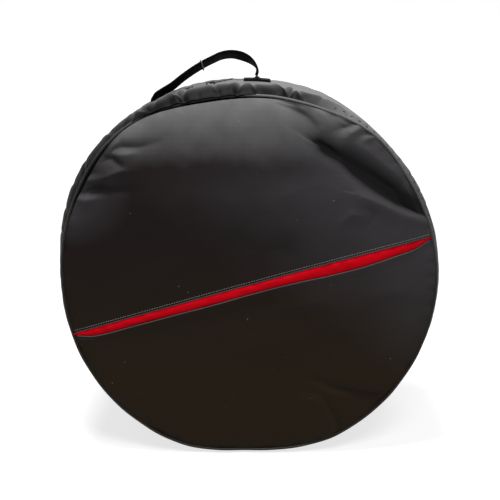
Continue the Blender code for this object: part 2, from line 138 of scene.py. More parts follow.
def smooth_line(points, count):
    """A Catmull-Rom curve through points."""
    points = np.asarray(points, float)
    padded = np.concatenate([points[:1] * 2 - points[1:2], points, points[-1:] * 2 - points[-2:-1]])
    spans = len(points) - 1
    made = []
    for value in np.linspace(0, spans, count):
        index = min(int(value), spans - 1)
        t = value - index
        p0, p1, p2, p3 = padded[index:index + 4]
        squared = (2 * p0 - 5 * p1 + 4 * p2 - p3) * t ** 2
        cubed = (3 * p1 - p0 - 3 * p2 + p3) * t ** 3
        made.append(0.5 * (2 * p1 + (p2 - p0) * t + squared + cubed))
    return np.array(made)


MOUTH_TABLE = smooth_line(MOUTH_OPENING, 200)


# Outline of the bag

def degrees_off(angle, degrees):
    """How far angles lie from a place round the bag, from -180 to 180 degrees."""
    return np.degrees(np.angle(np.exp(1j * (angle - math.radians(degrees)))))


def near_angle(angle, degrees, spread):
    """1 at a place round the bag, falling away over spread degrees to both sides."""
    return np.exp(-(degrees_off(angle, degrees) / spread) ** 2)


def lump(angle):
    """1 where the bag is fullest, at the upper left, falling away round it; below 0 where it is pushed in."""
    pushed_in = 0.52 * near_angle(angle, 284, 10) + 0.28 * near_angle(angle, 180, 18)
    pushed_in += 0.30 * near_angle(angle, 87, 14)
    return near_angle(angle, FULLEST_DEGREES, FULL_SPREAD_DEGREES) - pushed_in


def rim(angle, inset, fullness=0.0):
    """Points (x, z) on the outline moved in by inset: a circle eased into the flat on the floor."""
    radius = RADIUS - inset + fullness * lump(angle)
    x = radius * np.cos(angle)
    z = radius * np.sin(angle)
    floor = -(CENTRE_Z - inset)
    over = floor - z
    eased = FLOOR_EASE * np.logaddexp(0, over / FLOOR_EASE)
    z = z + np.where(over > -4 * FLOOR_EASE, eased, 0.0)
    return x, CENTRE_Z + np.maximum(z, floor)


def seam_inset(angle):
    """How far in the front seam lies: it is drawn in towards the top, but less at its shoulders."""
    high = np.clip(np.sin(angle), 0, 1)
    less = 0.0012 * high ** 0.5 + 0.0048 * near_angle(angle, 50, 13) + 0.0066 * near_angle(angle, 127, 18)
    less += 0.0018 * near_angle(angle, 88, 13)
    return SEAM_INSET + SEAM_DRAWN_IN * high ** 1.5 - less


def seam(angle, further):
    """Points (x, z) on the front seam, moved in further."""
    return rim(angle, seam_inset(angle) + further, SEAM_FULLNESS)


def seam_slot(angle):
    """1 where the front's edge and the wall part into a deep dark slot, at the top and at the upper left."""
    return np.exp(-(degrees_off(angle, 107) / 21.0) ** 4) + 0.5 * near_angle(angle, 147, 11)


def front_share(x, z):
    """Distance from the front's middle as a share of the way to the seam."""
    rx, rz = seam(np.arctan2(z - CENTRE_Z, x), PIPE_RADIUS)
    return np.hypot(x, z - CENTRE_Z) / np.maximum(np.hypot(rx, rz - CENTRE_Z), 1e-6)


# Folds in the cloth: points in the photograph, height in mm (a valley is negative), half widths in pixels
# to the two sides, and the share of the height that is left at the two ends
UPPER_FOLDS = [
    ([(322, 152), (338, 161), (354, 175), (377, 191), (396, 203), (425, 214)], -6.6, 17, 5, 0.45, 1.0),
    ([(354, 195), (370, 200), (389, 208), (405, 215), (427, 220)], 3.4, 4, 11, 0.3, 0.9),
    ([(340, 140), (362, 152), (388, 172), (410, 192), (424, 204)], 2.2, 9, 9, 0.3, 0.6),
    ([(284, 103), (298, 114), (314, 130)], -3.0, 3.5, 6, 0.7, 0.4),
    ([(292, 99), (308, 110), (324, 124)], 2.2, 5, 7, 1.0, 0.3),
    ([(359, 123), (347, 129), (335, 135)], -3.2, 3.5, 5, 0.9, 0.3),
    ([(360, 131), (348, 137), (338, 147)], 3.2, 5, 7, 0.8, 0.3),
    ([(373, 133), (365, 136), (357, 139)], -2.6, 3, 4, 1.0, 0.2),
    ([(375, 140), (366, 142), (358, 146)], 2.0, 3, 4, 1.0, 0.2),
    ([(316, 146), (326, 154), (334, 160)], -3.6, 4, 6, 0.7, 0.4),
    ([(97, 161), (106, 157), (116, 161), (125, 168)], -4.4, 6, 4, 0.8, 0.4),
    ([(92, 182), (104, 180), (116, 176), (126, 172)], 4.0, 5, 5, 0.8, 0.4),
    ([(86, 172), (93, 174), (100, 176)], -2.8, 3, 3, 0.9, 0.4),
    ([(84, 192), (104, 191), (132, 193)], -3.2, 7, 4, 0.8, 0.3),
    ([(74, 200), (88, 201), (102, 199)], 2.8, 4, 6, 0.9, 0.3),
    ([(110, 151), (122, 150), (142, 150), (162, 145)], -2.6, 5, 4, 0.7, 0.2),
    ([(108, 157), (124, 158), (140, 156)], 2.2, 4, 4, 0.7, 0.2),
    ([(250, 214), (282, 196), (316, 186), (350, 190)], 1.6, 18, 22, 0.3, 0.3),
    ([(220, 260), (238, 238), (250, 216)], -1.2, 14, 20, 0.3, 0.4),
    ([(262, 250), (286, 246), (300, 262)], -1.4, 16, 14, 0.4, 0.3),
    ([(340, 222), (350, 214), (358, 216)], 1.2, 4, 7, 0.4, 0.4),
    ([(364, 208), (372, 214), (368, 224)], -1.2, 4, 6, 0.4, 0.4),
    ([(140, 112), (190, 102), (240, 99)], 1.6, 8, 12, 0.4, 0.4),
]
LOWER_FOLDS = [
    ([(318, 380), (336, 388), (356, 392), (382, 397)], -1.8, 4, 9, 0.3, 1.0),
    ([(314, 386), (334, 394), (352, 399)], 1.5, 5, 8, 0.3, 0.5),
    ([(300, 400), (318, 402), (330, 415), (336, 432)], 2.2, 7, 12, 0.3, 1.0),
    ([(322, 398), (334, 414), (342, 430)], -2.2, 4, 7, 0.3, 1.0),
    ([(210, 330), (250, 344), (300, 340), (340, 326)], 1.3, 20, 26, 0.2, 0.3),
    ([(86, 350), (110, 380), (150, 410)], 1.0, 14, 20, 0.4, 0.4),
    ([(356, 300), (390, 290), (420, 296)], 1.2, 14, 18, 0.3, 0.6),
    ([(280, 308), (320, 300), (350, 304)], 1.2, 10, 16, 0.3, 0.3),
]
BACK_FOLDS = [
    ([(120, 150), (160, 190), (230, 205), (300, 196)], -2.0, 9, 16, 0.3, 0.3),
    ([(96, 320), (150, 345), (200, 392)], 1.8, 8, 15, 0.4, 0.3),
    ([(400, 210), (352, 250), (330, 310)], -1.8, 8, 14, 0.8, 0.3),
    ([(392, 350), (340, 372), (300, 420)], 1.6, 9, 14, 0.5, 0.6),
    ([(240, 112), (256, 140), (250, 172)], -1.6, 6, 10, 1.0, 0.3),
]


def fold_height(x, z, folds):
    """The sum of the folds at points (x, z); each fades along its line between its two end strengths."""
    total = np.zeros_like(x)
    for line, height, near, far, first, last in folds:
        points = [photo_point(*p) for p in line]
        best = np.full(x.shape, 1e9)
        side = np.zeros_like(x)
        along = np.zeros_like(x)
        for index, ((ax, az), (bx, bz)) in enumerate(zip(points, points[1:])):
            dx, dz = bx - ax, bz - az
            t = np.clip(((x - ax) * dx + (z - az) * dz) / (dx * dx + dz * dz), 0, 1)
            ox, oz = x - ax - t * dx, z - az - t * dz
            distance = np.hypot(ox, oz)
            closer = distance < best
            best = np.where(closer, distance, best)
            side = np.where(closer, np.sign(dx * oz - dz * ox), side)
            along = np.where(closer, (index + t) / (len(points) - 1), along)
        width = np.where(side > 0, near, far) * WIDTH_PER_PIXEL
        strength = np.interp(along, [0, 0.5, 1], [first, 1, last])
        total += height / 1000 * FOLD_GAIN * strength * np.exp(-(best / width) ** FOLD_SHARPNESS)
    return total


def ripple(x, z, scale, seed):
    """Smooth noise over the front, from -1 to 1."""
    flat = [noise.noise(Vector((a * scale, seed, b * scale))) for a, b in zip(x.ravel(), z.ravel())]
    return np.array(flat).reshape(x.shape)


def crown(share):
    """The slack front rolls up quickly from its seam and goes on swelling gently to the middle."""
    share = np.clip(share, 0, 1)
    return CROWN * (0.66 * (1 - share ** 2.4) + 0.34 * (1 - share ** 18))


def tucks(x, z, share, count, waves, reach):
    """How far small tucks pull the cloth in where it is eased into the seam."""
    angle = np.arctan2(z - CENTRE_Z, x)
    fan = 0.5 + 0.5 * np.sin(angle * count + 3 * np.sin(angle * waves))
    return TUCK_DEPTH * fan ** 3 * np.exp(-((1 - share) / reach) ** 2)


def cover_y(x, z, folds, seed):
    """The outer face of the slack front: crown, folds, ripples and tucks."""
    share = front_share(x, z)
    along, across = x * 0.8 + z * 0.6, z * 0.8 - x * 0.6
    slack = 0.0011 * ripple(along, across * 1.8, 13.0, seed) + 0.0003 * ripple(x, z, 60.0, seed)
    y = crown(share) + fold_height(x, z, folds) + slack - tucks(x, z, share, 61, 7, 0.035)
    lowest = EDGE_RISE - (DENT_LIMIT + EDGE_RISE) * np.clip((1 - share - 0.030) / 0.06, 0, 1)
    lowest = np.where(share > 0.985, -0.0004, lowest)
    return -SEAM_Y - np.maximum(y, lowest)


def upper_y(x, z):
    return cover_y(x, z, UPPER_FOLDS, 3.1)


def lower_y(x, z):
    return cover_y(x, z, LOWER_FOLDS, 8.4)


def back_y(x, z):
    """The back's outer face: a gentle swell with soft folds and tucks."""
    share = front_share(x, z)
    swell = crown(share) * 0.86 + fold_height(x, z, BACK_FOLDS) + 0.0011 * ripple(x, z, 14.0, 21.0)
    return SEAM_Y + np.maximum(swell - tucks(x, z, share, 53, 6, 0.04), 0.0)


# Meshes

def add_object(name, data):
    item = bpy.data.objects.new(name, data)
    bpy.context.scene.collection.objects.link(item)
    return item


def mesh_object(name, verts, faces, smooth_angle=50.0):
    """A closed mesh with its faces out, as an object at the origin."""
    mesh = bpy.data.meshes.new(name)
    mesh.from_pydata(verts.tolist(), [], faces)
    shape = bmesh.new()
    shape.from_mesh(mesh)
    bmesh.ops.remove_doubles(shape, verts=shape.verts, dist=1e-6)
    bmesh.ops.dissolve_degenerate(shape, edges=shape.edges, dist=1e-7)
    bmesh.ops.recalc_face_normals(shape, faces=shape.faces)
    shape.to_mesh(mesh)
    shape.free()
    mesh.shade_smooth()
    mesh.set_sharp_from_angle(angle=math.radians(smooth_angle))
    return add_object(name, mesh)


def shell_object(name, outer, inner, wrap=False):
    """A closed sheet between two grids of points (rows, columns, 3); wrap joins last column to first."""
    rows, columns = outer.shape[:2]
    count = rows * columns
    verts = np.concatenate([outer.reshape(-1, 3), inner.reshape(-1, 3)])
    index = np.arange(count).reshape(rows, columns)
    if wrap:
        index = np.concatenate([index, index[:, :1]], axis=1)
    corners = [index[:-1, :-1], index[:-1, 1:], index[1:, 1:], index[1:, :-1]]
    quads = np.stack(corners, -1).reshape(-1, 4)
    edges = [index[0, :], index[-1, :]]
    if not wrap:
        edges += [index[:, 0], index[:, -1]]
    walls = [np.stack([e[:-1], e[1:], e[1:] + count, e[:-1] + count], -1) for e in edges]
    return mesh_object(name, verts, np.concatenate([quads, quads + count, *walls]).tolist())


def sheet_object(name, x, z, y, thickness):
    """A closed sheet whose outer face is given and whose inner face lies behind it."""
    return shell_object(name, np.stack([x, y, z], -1), np.stack([x, y + thickness, z], -1))


def skin(name, rings, closed, smooth_angle=80.0):
    """A surface over rings of points (rings, corners, 3), joined end to end or capped at both ends."""
    count, sides = rings.shape[:2]
    faces = []
    for index in range(count if closed else count - 1):
        here, there = index * sides, ((index + 1) % count) * sides
        for corner in range(sides):
            after = (corner + 1) % sides
            faces.append([here + corner, here + after, there + after, there + corner])
    if not closed:
        faces += [list(range(sides)), list(range((count - 1) * sides, count * sides))]
    return mesh_object(name, rings.reshape(-1, 3), faces, smooth_angle)


def unit(vectors):
    return vectors / np.linalg.norm(vectors, axis=1)[:, None]


def round_rings(points, side, up, radius, sides):
    turn = around(sides)[None, :, None]
    return points[:, None] + radius * (np.cos(turn) * side[:, None] + np.sin(turn) * up[:, None])


def tube(name, points, radius, sides=8, closed=False):
    """A round tube along points that lie roughly in an upright plane facing the front."""
    run = np.roll(points, -1, 0) - np.roll(points, 1, 0) if closed else np.gradient(points, axis=0)
    run = unit(run)
    side = unit(np.cross(run, [0.0, 1.0, 0.0]))
    return skin(name, round_rings(points, side, np.cross(side, run), radius, sides), closed)


def loop_tube(name, points, radius, sides=8):
    """A closed tube whose frame follows the loop."""
    run = unit(np.roll(points, -1, 0) - np.roll(points, 1, 0))
    out = points - points.mean(0)
    out = unit(out - np.sum(out * run, 1)[:, None] * run)
    return skin(name, round_rings(points, out, np.cross(run, out), radius, sides), True)


def dress(item, finish, body, nodes=()):
    """Finish a piece: its material, the body it rides on, and the nodes it stands for."""
    item.data.materials.clear()
    item.data.materials.append(finish)
    if nodes:
        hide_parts(*nodes)
    if body == "lid_blend":
        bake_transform(item)
    else:
        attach(item, body)


# Shader maths

class Sock:
    """A shader socket that adds Math nodes when it is used in an expression."""

    def __init__(self, tree, link):
        self.tree = tree
        self.link = link

    def math(self, operation, other=0.0, swap=False):
        first, second = (other, self) if swap else (self, other)
        return self.tree.node("ShaderNodeMath", "Value", {"operation": operation}, {0: first, 1: second})

    def __add__(self, other):
        return self.math("ADD", other)

    __radd__ = __add__

    def __sub__(self, other):
        return self.math("SUBTRACT", other)

    def __rsub__(self, other):
        return self.math("SUBTRACT", other, True)

    def __mul__(self, other):
        return self.math("MULTIPLY", other)

    def __pow__(self, other):
        return self.math("POWER", other)


class Finish:
    """One material: its Principled shader and the nodes that feed it."""

    def __init__(self, name, roughness=0.6, metallic=0.0, sheen=0.0, specular=0.5):
        self.material = bpy.data.materials.new(name)
        self.material.use_nodes = True
        self.nodes = self.material.node_tree.nodes
        self.links = self.material.node_tree.links
        self.shader = self.nodes["Principled BSDF"]
        self.set("Roughness", roughness)
        self.set("Metallic", metallic)
        self.set("Sheen Weight", sheen)
        self.set("Sheen Roughness", 0.4)
        self.set("Specular IOR Level", specular)

    def node(self, kind, output, settings=None, values=None):
        """One output of a new node."""
        made = self.nodes.new(kind)
        for key, value in (settings or {}).items():
            setattr(made, key, value)
        for key, value in (values or {}).items():
            self.feed(made.inputs[key], value)
        return Sock(self, made.outputs[output])

    def feed(self, socket, value):
        if isinstance(value, Sock):
            self.links.new(value.link, socket)
        elif isinstance(value, tuple) and len(value) == 3 and len(socket.default_value) == 4:
            socket.default_value = (*value, 1.0)
        else:
            socket.default_value = value

    def set(self, socket, value):
        self.feed(self.shader.inputs[socket], value)

    def place(self):
        return self.node("ShaderNodeTexCoord", "Object")

    def uv(self, name):
        return self.node("ShaderNodeUVMap", "UV", {"uv_map": name})

    def part(self, vector, name):
        return self.node("ShaderNodeSeparateXYZ", name, None, {"Vector": vector})

    def axis(self, name):
        return self.part(self.place(), name)

    def grain(self, scale, detail=3.0):
        values = {"Vector": self.place(), "Scale": scale, "Detail": detail, "Roughness": 0.55}
        return self.node("ShaderNodeTexNoise", "Fac", {"noise_dimensions": "3D"}, values)

    def wave(self, scale, direction, where=None):
        settings = {"wave_type": "BANDS", "bands_direction": direction, "wave_profile": "SIN"}
        values = {"Vector": where or self.place(), "Scale": scale}
        return self.node("ShaderNodeTexWave", "Fac", settings, values)

    def range(self, value, low, high, to_high=1.0):
        values = {"Value": value, "From Min": low, "From Max": high, "To Min": 0.0, "To Max": to_high}
        return self.node("ShaderNodeMapRange", "Result", {"clamp": True}, values)

    def mix(self, factor, first, second):
        values = {"Factor": factor, 6: first, 7: second}
        return self.node("ShaderNodeMix", 2, {"data_type": "RGBA"}, values)

    def paint(self, factor, dark, light):
        self.set("Base Color", self.mix(factor, dark, light))

    def bump(self, height, strength, distance):
        values = {"Height": height, "Strength": strength, "Distance": distance}
        self.set("Normal", self.node("ShaderNodeBump", "Normal", None, values))

    def woven(self, pitch):
        """A plain weave's height: two crossed sets of threads."""
        scale = 1.0 / pitch / 20
        return self.wave(scale, "X") * 0.5 + self.wave(scale, "Z") * 0.5


BROWN_BLACK = (0.0150, 0.0096, 0.0048)
NEAR_BLACK = (0.0090, 0.0062, 0.0060)
SPECK = (0.40, 0.38, 0.34)
FOLD_SHADE = (0.0032, 0.0026, 0.0023)
SLOT_SHADE = (0.0026, 0.0023, 0.0022)


def shell_cloth(name, lit_colour, top_light_low, top_light_high, top_light_colour, wall=False):
    """Coated black nylon: brown-black low down, with painted light that greys it on the upper right and makes
    it paler towards the top, and a painted shadow band under the pale top; painted shade darkens the front's
    folds, and the wall near its front seam and on its far left; lint specks.
    """
    finish = Finish(name, roughness=0.5, sheen=0.02, specular=0.045)
    up, right = finish.axis("Z"), finish.axis("X")
    cloud = finish.grain(11.0, 4.0)
    fine = finish.grain(420.0, 2.0)
    colour = finish.mix(finish.range(up, 0.08, 0.24), BROWN_BLACK, NEAR_BLACK)
    # Painted light: the cloth is greyed towards the upper right, and at its upper left edge, as though lit
    # there.
    left_edge = finish.range(right, -0.120, -0.180, 0.26) * finish.range(up, 0.20, 0.28)
    side_light = finish.range(up + right * 0.7 + cloud * 0.07 - 0.035 + left_edge, 0.19, 0.37)
    # Painted shadow: a band just under the pale top, except on the right, where the bulge above would shade
    # the cloth; it takes back half the painted light there.
    bulge_shadow_band = finish.range(up, 0.286, 0.308) * finish.range(up, 0.334, 0.318)
    bulge_shadow_band = bulge_shadow_band * finish.range(right, 0.10, 0.04)
    colour = finish.mix(side_light ** 1.2 * (1.0 - bulge_shadow_band * 0.5), colour, lit_colour)
    # Painted light from above: the cloth is paler towards the top, and on the wall more so on the right; a
    # coarse grain breaks it up.
    leaning = 0.28 if wall else -0.06
    top_light = finish.range(up + right * leaning + cloud * 0.06 - 0.03, top_light_low, top_light_high)
    colour = finish.mix(top_light ** 1.3 * (0.75 + finish.grain(60.0, 4.0) * 0.35), colour, top_light_colour)
    speck = finish.range(finish.grain(300.0, 0.0), 0.875, 0.895)
    colour = finish.mix(speck * 0.14, colour, SPECK)
    if wall:
        # Painted shade: the wall darkens towards its front seam, except on the right, and on its far left
        # side.
        from_seam = SEAM_Y - finish.axis("Y").math("ABSOLUTE")
        open_to_light = finish.range(from_seam, 0.004, 0.019) ** 1.8
        at_right = finish.range(right, 0.05, 0.10) * 0.85
        colour = finish.mix(open_to_light.math("MAXIMUM", at_right), SLOT_SHADE, colour)
        left_side_shade = finish.range(right, -0.120, -0.168)
        colour = finish.mix(left_side_shade * 0.72, colour, SLOT_SHADE)
    else:
        # Painted shade in the creases, darker the deeper a fold's valley lies.
        sunk = finish.part(finish.uv("folds"), "X")
        colour = finish.mix(sunk * 0.86, colour, FOLD_SHADE)
    finish.set("Base Color", colour)
    finish.set("Roughness", cloud * 0.12 + fine * 0.08 + 0.38)
    finish.bump(finish.woven(0.0009) * 0.4 + fine * 0.5 + finish.grain(90.0, 4.0) * 1.6, 0.35, 0.0004)
    return finish.material


def plain_cloth(name, colour, pitch=0.0012, roughness=0.75, sheen=0.1, spread=0.35, specular=0.12):
    finish = Finish(name, roughness=roughness, sheen=sheen, specular=specular)
    dark, light = (tuple(c * (1 + change) for c in colour) for change in (-spread, spread))
    finish.paint(finish.grain(26.0, 4.0), dark, light)
    finish.set("Roughness", finish.grain(200.0) * 0.15 + (roughness - 0.07))
    finish.bump(finish.woven(pitch) * 0.6 + finish.grain(120.0) * 1.2, 0.4, 0.0004)
    return finish.material


def piping_finish():
    """Satin piping with a painted highlight, pale on the upper right, dark elsewhere."""
    finish = Finish("piping_satin", roughness=0.38, sheen=0.05, specular=0.15)
    height = finish.range(finish.axis("Z") + finish.axis("X") * 0.35, 0.24, 0.44)
    # Painted highlight: pale where light from above catches the upper right of the piping.
    painted_highlight = finish.range(height * 0.9 + finish.grain(9.0) * 0.3, 0.28, 0.95)
    finish.paint(painted_highlight, (0.009, 0.008, 0.007), (0.112, 0.110, 0.105))
    finish.set("Roughness", finish.grain(300.0) * 0.2 + 0.3)
    finish.bump(finish.grain(700.0), 0.3, 0.0002)
    return finish.material


def foam_finish():
    finish = Finish("grey_foam", roughness=0.95, specular=0.2)
    cells = finish.node("ShaderNodeTexVoronoi", "Distance", None, {"Vector": finish.place(), "Scale": 700.0})
    finish.paint(cells, (0.16, 0.16, 0.17), (0.26, 0.26, 0.27))
    finish.bump(cells, 0.5, 0.0006)
    return finish.material


def webbing_finish():
    """Ribbed webbing: the ribs run along the strap, read from the strap's own UV map."""
    finish = Finish("handle_webbing", roughness=0.62, specular=0.04)
    ribs = finish.wave(2.4, "Y", finish.uv("strap"))
    picks = finish.wave(60.0, "X", finish.uv("strap"))
    finish.paint(ribs * 0.6 + picks * 0.4, (0.0008, 0.0007, 0.0006), (0.0045, 0.0041, 0.0037))
    finish.set("Roughness", finish.grain(400.0) * 0.2 + 0.55)
    finish.bump(ribs * 0.7 + picks * 0.5, 0.8, 0.0005)
    return finish.material


def metal_finish():
    finish = Finish("zip_metal", roughness=0.35, metallic=1.0)
    rub = finish.grain(160.0, 4.0)
    finish.paint(rub, (0.014, 0.014, 0.015), (0.06, 0.06, 0.062))
    finish.set("Roughness", rub * 0.3 + 0.3)
    finish.bump(finish.grain(900.0), 0.15, 0.0002)
    return finish.material


def thread_finish(name, colour):
    finish = Finish(name, roughness=0.6, sheen=0.1)
    twist = finish.grain(900.0, 1.0)
    finish.paint(twist, tuple(c * 0.7 for c in colour), colour)
    finish.bump(twist, 0.4, 0.0002)
    return finish.material


# After each name: the colour of the painted light on the upper right, the two levels between which the
# painted light from above comes in, and its colour.
FRONT_CLOTH = shell_cloth("front_nylon", (0.036, 0.034, 0.037), 0.315, 0.378, (0.152, 0.151, 0.152))
WALL_CLOTH = shell_cloth("wall_nylon", (0.034, 0.033, 0.034), 0.29, 0.39, (0.150, 0.148, 0.148), wall=True)
LINING_CLOTH = plain_cloth("lining_cloth", (0.045, 0.045, 0.05))
LINER_RED = (0.45, 0.0008, 0.006)
LINER_CLOTH = plain_cloth("red_liner", LINER_RED, roughness=0.5, sheen=0.0, spread=0.14, specular=0.03)
# Pale grey: on the rolled hem and mouth edges it is a painted highlight; the seam bindings use it too.
HEM_CLOTH = plain_cloth("hem_tape", (0.05, 0.05, 0.049))
ZIP_TAPE_CLOTH = plain_cloth("zip_tape", (0.02, 0.02, 0.02), pitch=0.0008)
PIPING = piping_finish()
FOAM = foam_finish()
WEBBING = webbing_finish()
METAL = metal_finish()
PALE_THREAD = thread_finish("pale_thread", (0.50, 0.50, 0.49))
HEM_THREAD = thread_finish("hem_thread", (0.16, 0.165, 0.16))
BLACK_THREAD = thread_finish("black_thread", (0.008, 0.008, 0.008))
COIL = thread_finish("zip_coil_nylon", (0.035, 0.035, 0.036))


# Front of the lid

UPPER_GRID = (260, 150)
POCKET_GRID = (240, 130)
LINER_GRID = (280, 110)


def own_frame(along, up):
    """Points (x, z) from places along the pocket's line and above it."""
    return along * TILT_COS - up * TILT_SIN, CENTRE_Z + along * TILT_SIN + up * TILT_COS


def own_angles():
    """Where the hem's line meets the seam, on the right and on the left, and half its length."""
    radius = RADIUS - SEAM_INSET - PIPE_RADIUS
    dip = math.asin(HEM_DROP / radius)
    return POCKET_TILT - dip, math.pi + POCKET_TILT + dip, math.sqrt(radius ** 2 - HEM_DROP ** 2)


RIGHT, LEFT, HEM_HALF = own_angles()


def hem_drop(along):
    """How far the hem lies below the front's middle: it is drawn up a little between its ends."""
    return HEM_DROP - HEM_BOW * (1 - np.clip(along / HEM_HALF, -1, 1) ** 2)


def mouth_opening(along):
    return np.interp(along / HEM_HALF, MOUTH_TABLE[:, 0], MOUTH_TABLE[:, 1])


def mouth_drop(along):
    """The pocket's free edge: a slack curve that nearly meets the hem at both ends."""
    return hem_drop(along) + mouth_opening(along)


def liner_drop(along):
    """The liner's upper edge, tucked up behind the hem."""
    return hem_drop(along) - 0.004


def panel_edge(angle):
    """How far the front's edge lies inside the seam's line: further where a slot opens beside it."""
    return PIPE_RADIUS * 0.7 + 0.0030 * near_angle(angle, 146, 11) + 0.0034 * near_angle(angle, 102, 22)


def line_to_seam(start, stop, edge, grid, crowd=1.0):
    """A grid (x, z) from a line across the front to the seam; its rows crowd towards the line."""
    columns, rows = grid
    share = np.linspace(0, 1, columns + 1)
    angles = start + (stop - start) * share
    rims = seam(angles, panel_edge(angles))
    eased = 0.5 - 0.5 * np.cos(math.pi * share)
    along = HEM_HALF * (2 * eased - 1) * (1 if start > 1.0 else -1)
    t = np.linspace(0, 1, rows + 1)[:, None] ** crowd
    made = []
    for line, reached in zip(own_frame(along, -edge(along)), rims):
        line = line + (1 - eased) * (reached[0] - line[0]) + eased * (reached[-1] - line[-1])
        made.append(line + (reached - line) * t)
    return made


def paint_folds(item, folds):
    """A UV map of how deep in a fold each point lies, from 0 to 1: the material paints shade there."""
    mesh = item.data
    places = np.empty(len(mesh.vertices) * 3)
    mesh.vertices.foreach_get("co", places)
    places = places.reshape(-1, 3)
    depth = np.clip(-fold_height(places[:, 0], places[:, 2], folds) / DARKEST_FOLD, 0, 1)
    corner = np.empty(len(mesh.loops), np.int32)
    mesh.loops.foreach_get("vertex_index", corner)
    layer = mesh.uv_layers.new(name="folds")
    layer.data.foreach_set("uv", np.stack([depth[corner], np.zeros(len(corner))], 1).ravel())


def liner_y(x, z):
    """The liner lies behind the front and swells out of the open mouth, wrinkled by its two edges."""
    along = np.clip(x * TILT_COS + (z - CENTRE_Z) * TILT_SIN, -HEM_HALF, HEM_HALF)
    drop = x * TILT_SIN - (z - CENTRE_Z) * TILT_COS
    below = np.clip((drop - hem_drop(along)) / mouth_opening(along), 0, 1)
    swell = np.sin(math.pi * below) ** 0.6 * (FABRIC + GAP + LIP)
    wrinkles = 0.0009 * np.abs(ripple(along, drop * 0.35 + along * 0.2, 55.0, 5.0))
    wrinkles = wrinkles + 0.0004 * ripple(x, z, 120.0, 2.0)
    behind = np.maximum(lower_y(x, z), upper_y(x, z)) + FABRIC + GAP
    return behind - swell * (1 - wrinkles / 0.0016)


def make_front():
    x, z = line_to_seam(RIGHT, LEFT, hem_drop, UPPER_GRID)
    upper = sheet_object("front_upper_cloth", x, z, upper_y(x, z), FABRIC)
    paint_folds(upper, UPPER_FOLDS)
    dress(upper, FRONT_CLOTH, "lid", ["front_upper_panel"])

    x, z = line_to_seam(LEFT + MOUTH_END, RIGHT + TURN - MOUTH_END, mouth_drop, POCKET_GRID)
    columns, rows = (np.linspace(0, 1, count + 1) for count in POCKET_GRID)
    lip = np.exp(-(rows[:, None] / 0.05) ** 2) * np.sin(math.pi * columns) ** 0.5
    lower = sheet_object("pocket_cloth", x, z, lower_y(x, z) - LIP * lip, FABRIC)
    paint_folds(lower, LOWER_FOLDS)
    dress(lower, FRONT_CLOTH, "lid", ["pocket_front"])

    x, z = line_to_seam(LEFT, RIGHT + TURN, liner_drop, LINER_GRID, 1.7)
    liner = sheet_object("pocket_liner_cloth", x, z, liner_y(x, z), LINER)
    dress(liner, LINER_CLOTH, "lid", ["pocket_back"])


def edge_line(drop_at, shift, surface, lift):
    """Points along the pocket's line, moved up from it by shift and set on a face of the cloth."""
    along = np.linspace(-0.985, 0.985, 400) * HEM_HALF
    x, z = own_frame(along, -drop_at(along) + shift)
    return np.stack([x, surface(x, z) - lift, z], -1)


def make_hems():
    """The folded edges above and below the red strip, with a fine rolled lip on each; their pale grey is a
    painted highlight along the rolled edges.
    """
    hem = tube("hem_rolled_edge", edge_line(hem_drop, 0.0003, upper_y, -FABRIC / 2), 0.0007)
    dress(hem, HEM_CLOTH, "lid", ["pocket_hem"])
    mouth = tube("mouth_rolled_edge", edge_line(mouth_drop, 0.0, lower_y, LIP - FABRIC / 2), 0.0006)
    dress(mouth, HEM_CLOTH, "lid", ["pocket_mouth_binding"])


# What repeats, by Geometry Nodes

def repeat_tree():
    """A tree that sets one piece along a curve at an even pitch, turned to the curve."""
    tree = bpy.data.node_groups.new("set_along_curve", "GeometryNodeTree")
    sockets = (("Geometry", "Geometry"), ("Pitch", "Float"), ("Piece", "Object"), ("Finish", "Material"))
    for name, kind in sockets:
        tree.interface.new_socket(name, in_out="INPUT", socket_type="NodeSocket" + kind)
    tree.interface.new_socket("Geometry", in_out="OUTPUT", socket_type="NodeSocketGeometry")
    new = tree.nodes.new
    source, result = new("NodeGroupInput"), new("NodeGroupOutput")
    points = new("GeometryNodeCurveToPoints")
    points.mode = "LENGTH"
    piece = new("GeometryNodeObjectInfo")
    instance = new("GeometryNodeInstanceOnPoints")
    real = new("GeometryNodeRealizeInstances")
    paint = new("GeometryNodeSetMaterial")
    links = (
        (source, "Geometry", points, "Curve"),
        (source, "Pitch", points, "Length"),
        (source, "Piece", piece, "Object"),
        (points, "Points", instance, "Points"),
        (points, "Rotation", instance, "Rotation"),
        (piece, "Geometry", instance, "Instance"),
        (instance, "Instances", real, "Geometry"),
        (real, "Geometry", paint, "Geometry"),
        (source, "Finish", paint, "Material"),
        (paint, "Geometry", result, "Geometry"),
    )
    for start, output, end, socket in links:
        tree.links.new(start.outputs[output], end.inputs[socket])
    return tree


REPEAT = repeat_tree()


def set_along(name, points, pitch, piece, finish):
    """A plain mesh of copies of piece at an even pitch along points."""
    curve = bpy.data.curves.new(name + "_line", "CURVE")
    curve.dimensions = "3D"
    spline = curve.splines.new("POLY")
    spline.points.add(len(points) - 1)
    for point, place in zip(spline.points, points):
        point.co = (*place, 1.0)
    path = add_object(name + "_line", curve)
    modifier = path.modifiers.new("copies", "NODES")
    modifier.node_group = REPEAT
    values = {"Pitch": pitch, "Piece": piece, "Finish": finish}
    for socket in REPEAT.interface.items_tree:
        if socket.item_type == "SOCKET" and socket.in_out == "INPUT" and socket.name in values:
            modifier[socket.identifier] = values[socket.name]
    graph = bpy.context.evaluated_depsgraph_get()
    graph.update()
    mesh = bpy.data.meshes.new_from_object(path.evaluated_get(graph))
    mesh.name = name
    bpy.data.objects.remove(path)
    return add_object(name, mesh)


def hidden_piece(name, shape):
    """An object outside the scene, for copies to be made of."""
    mesh = bpy.data.meshes.new(name)
    shape.to_mesh(mesh)
    shape.free()
    mesh.shade_smooth()
    return bpy.data.objects.new(name, mesh)


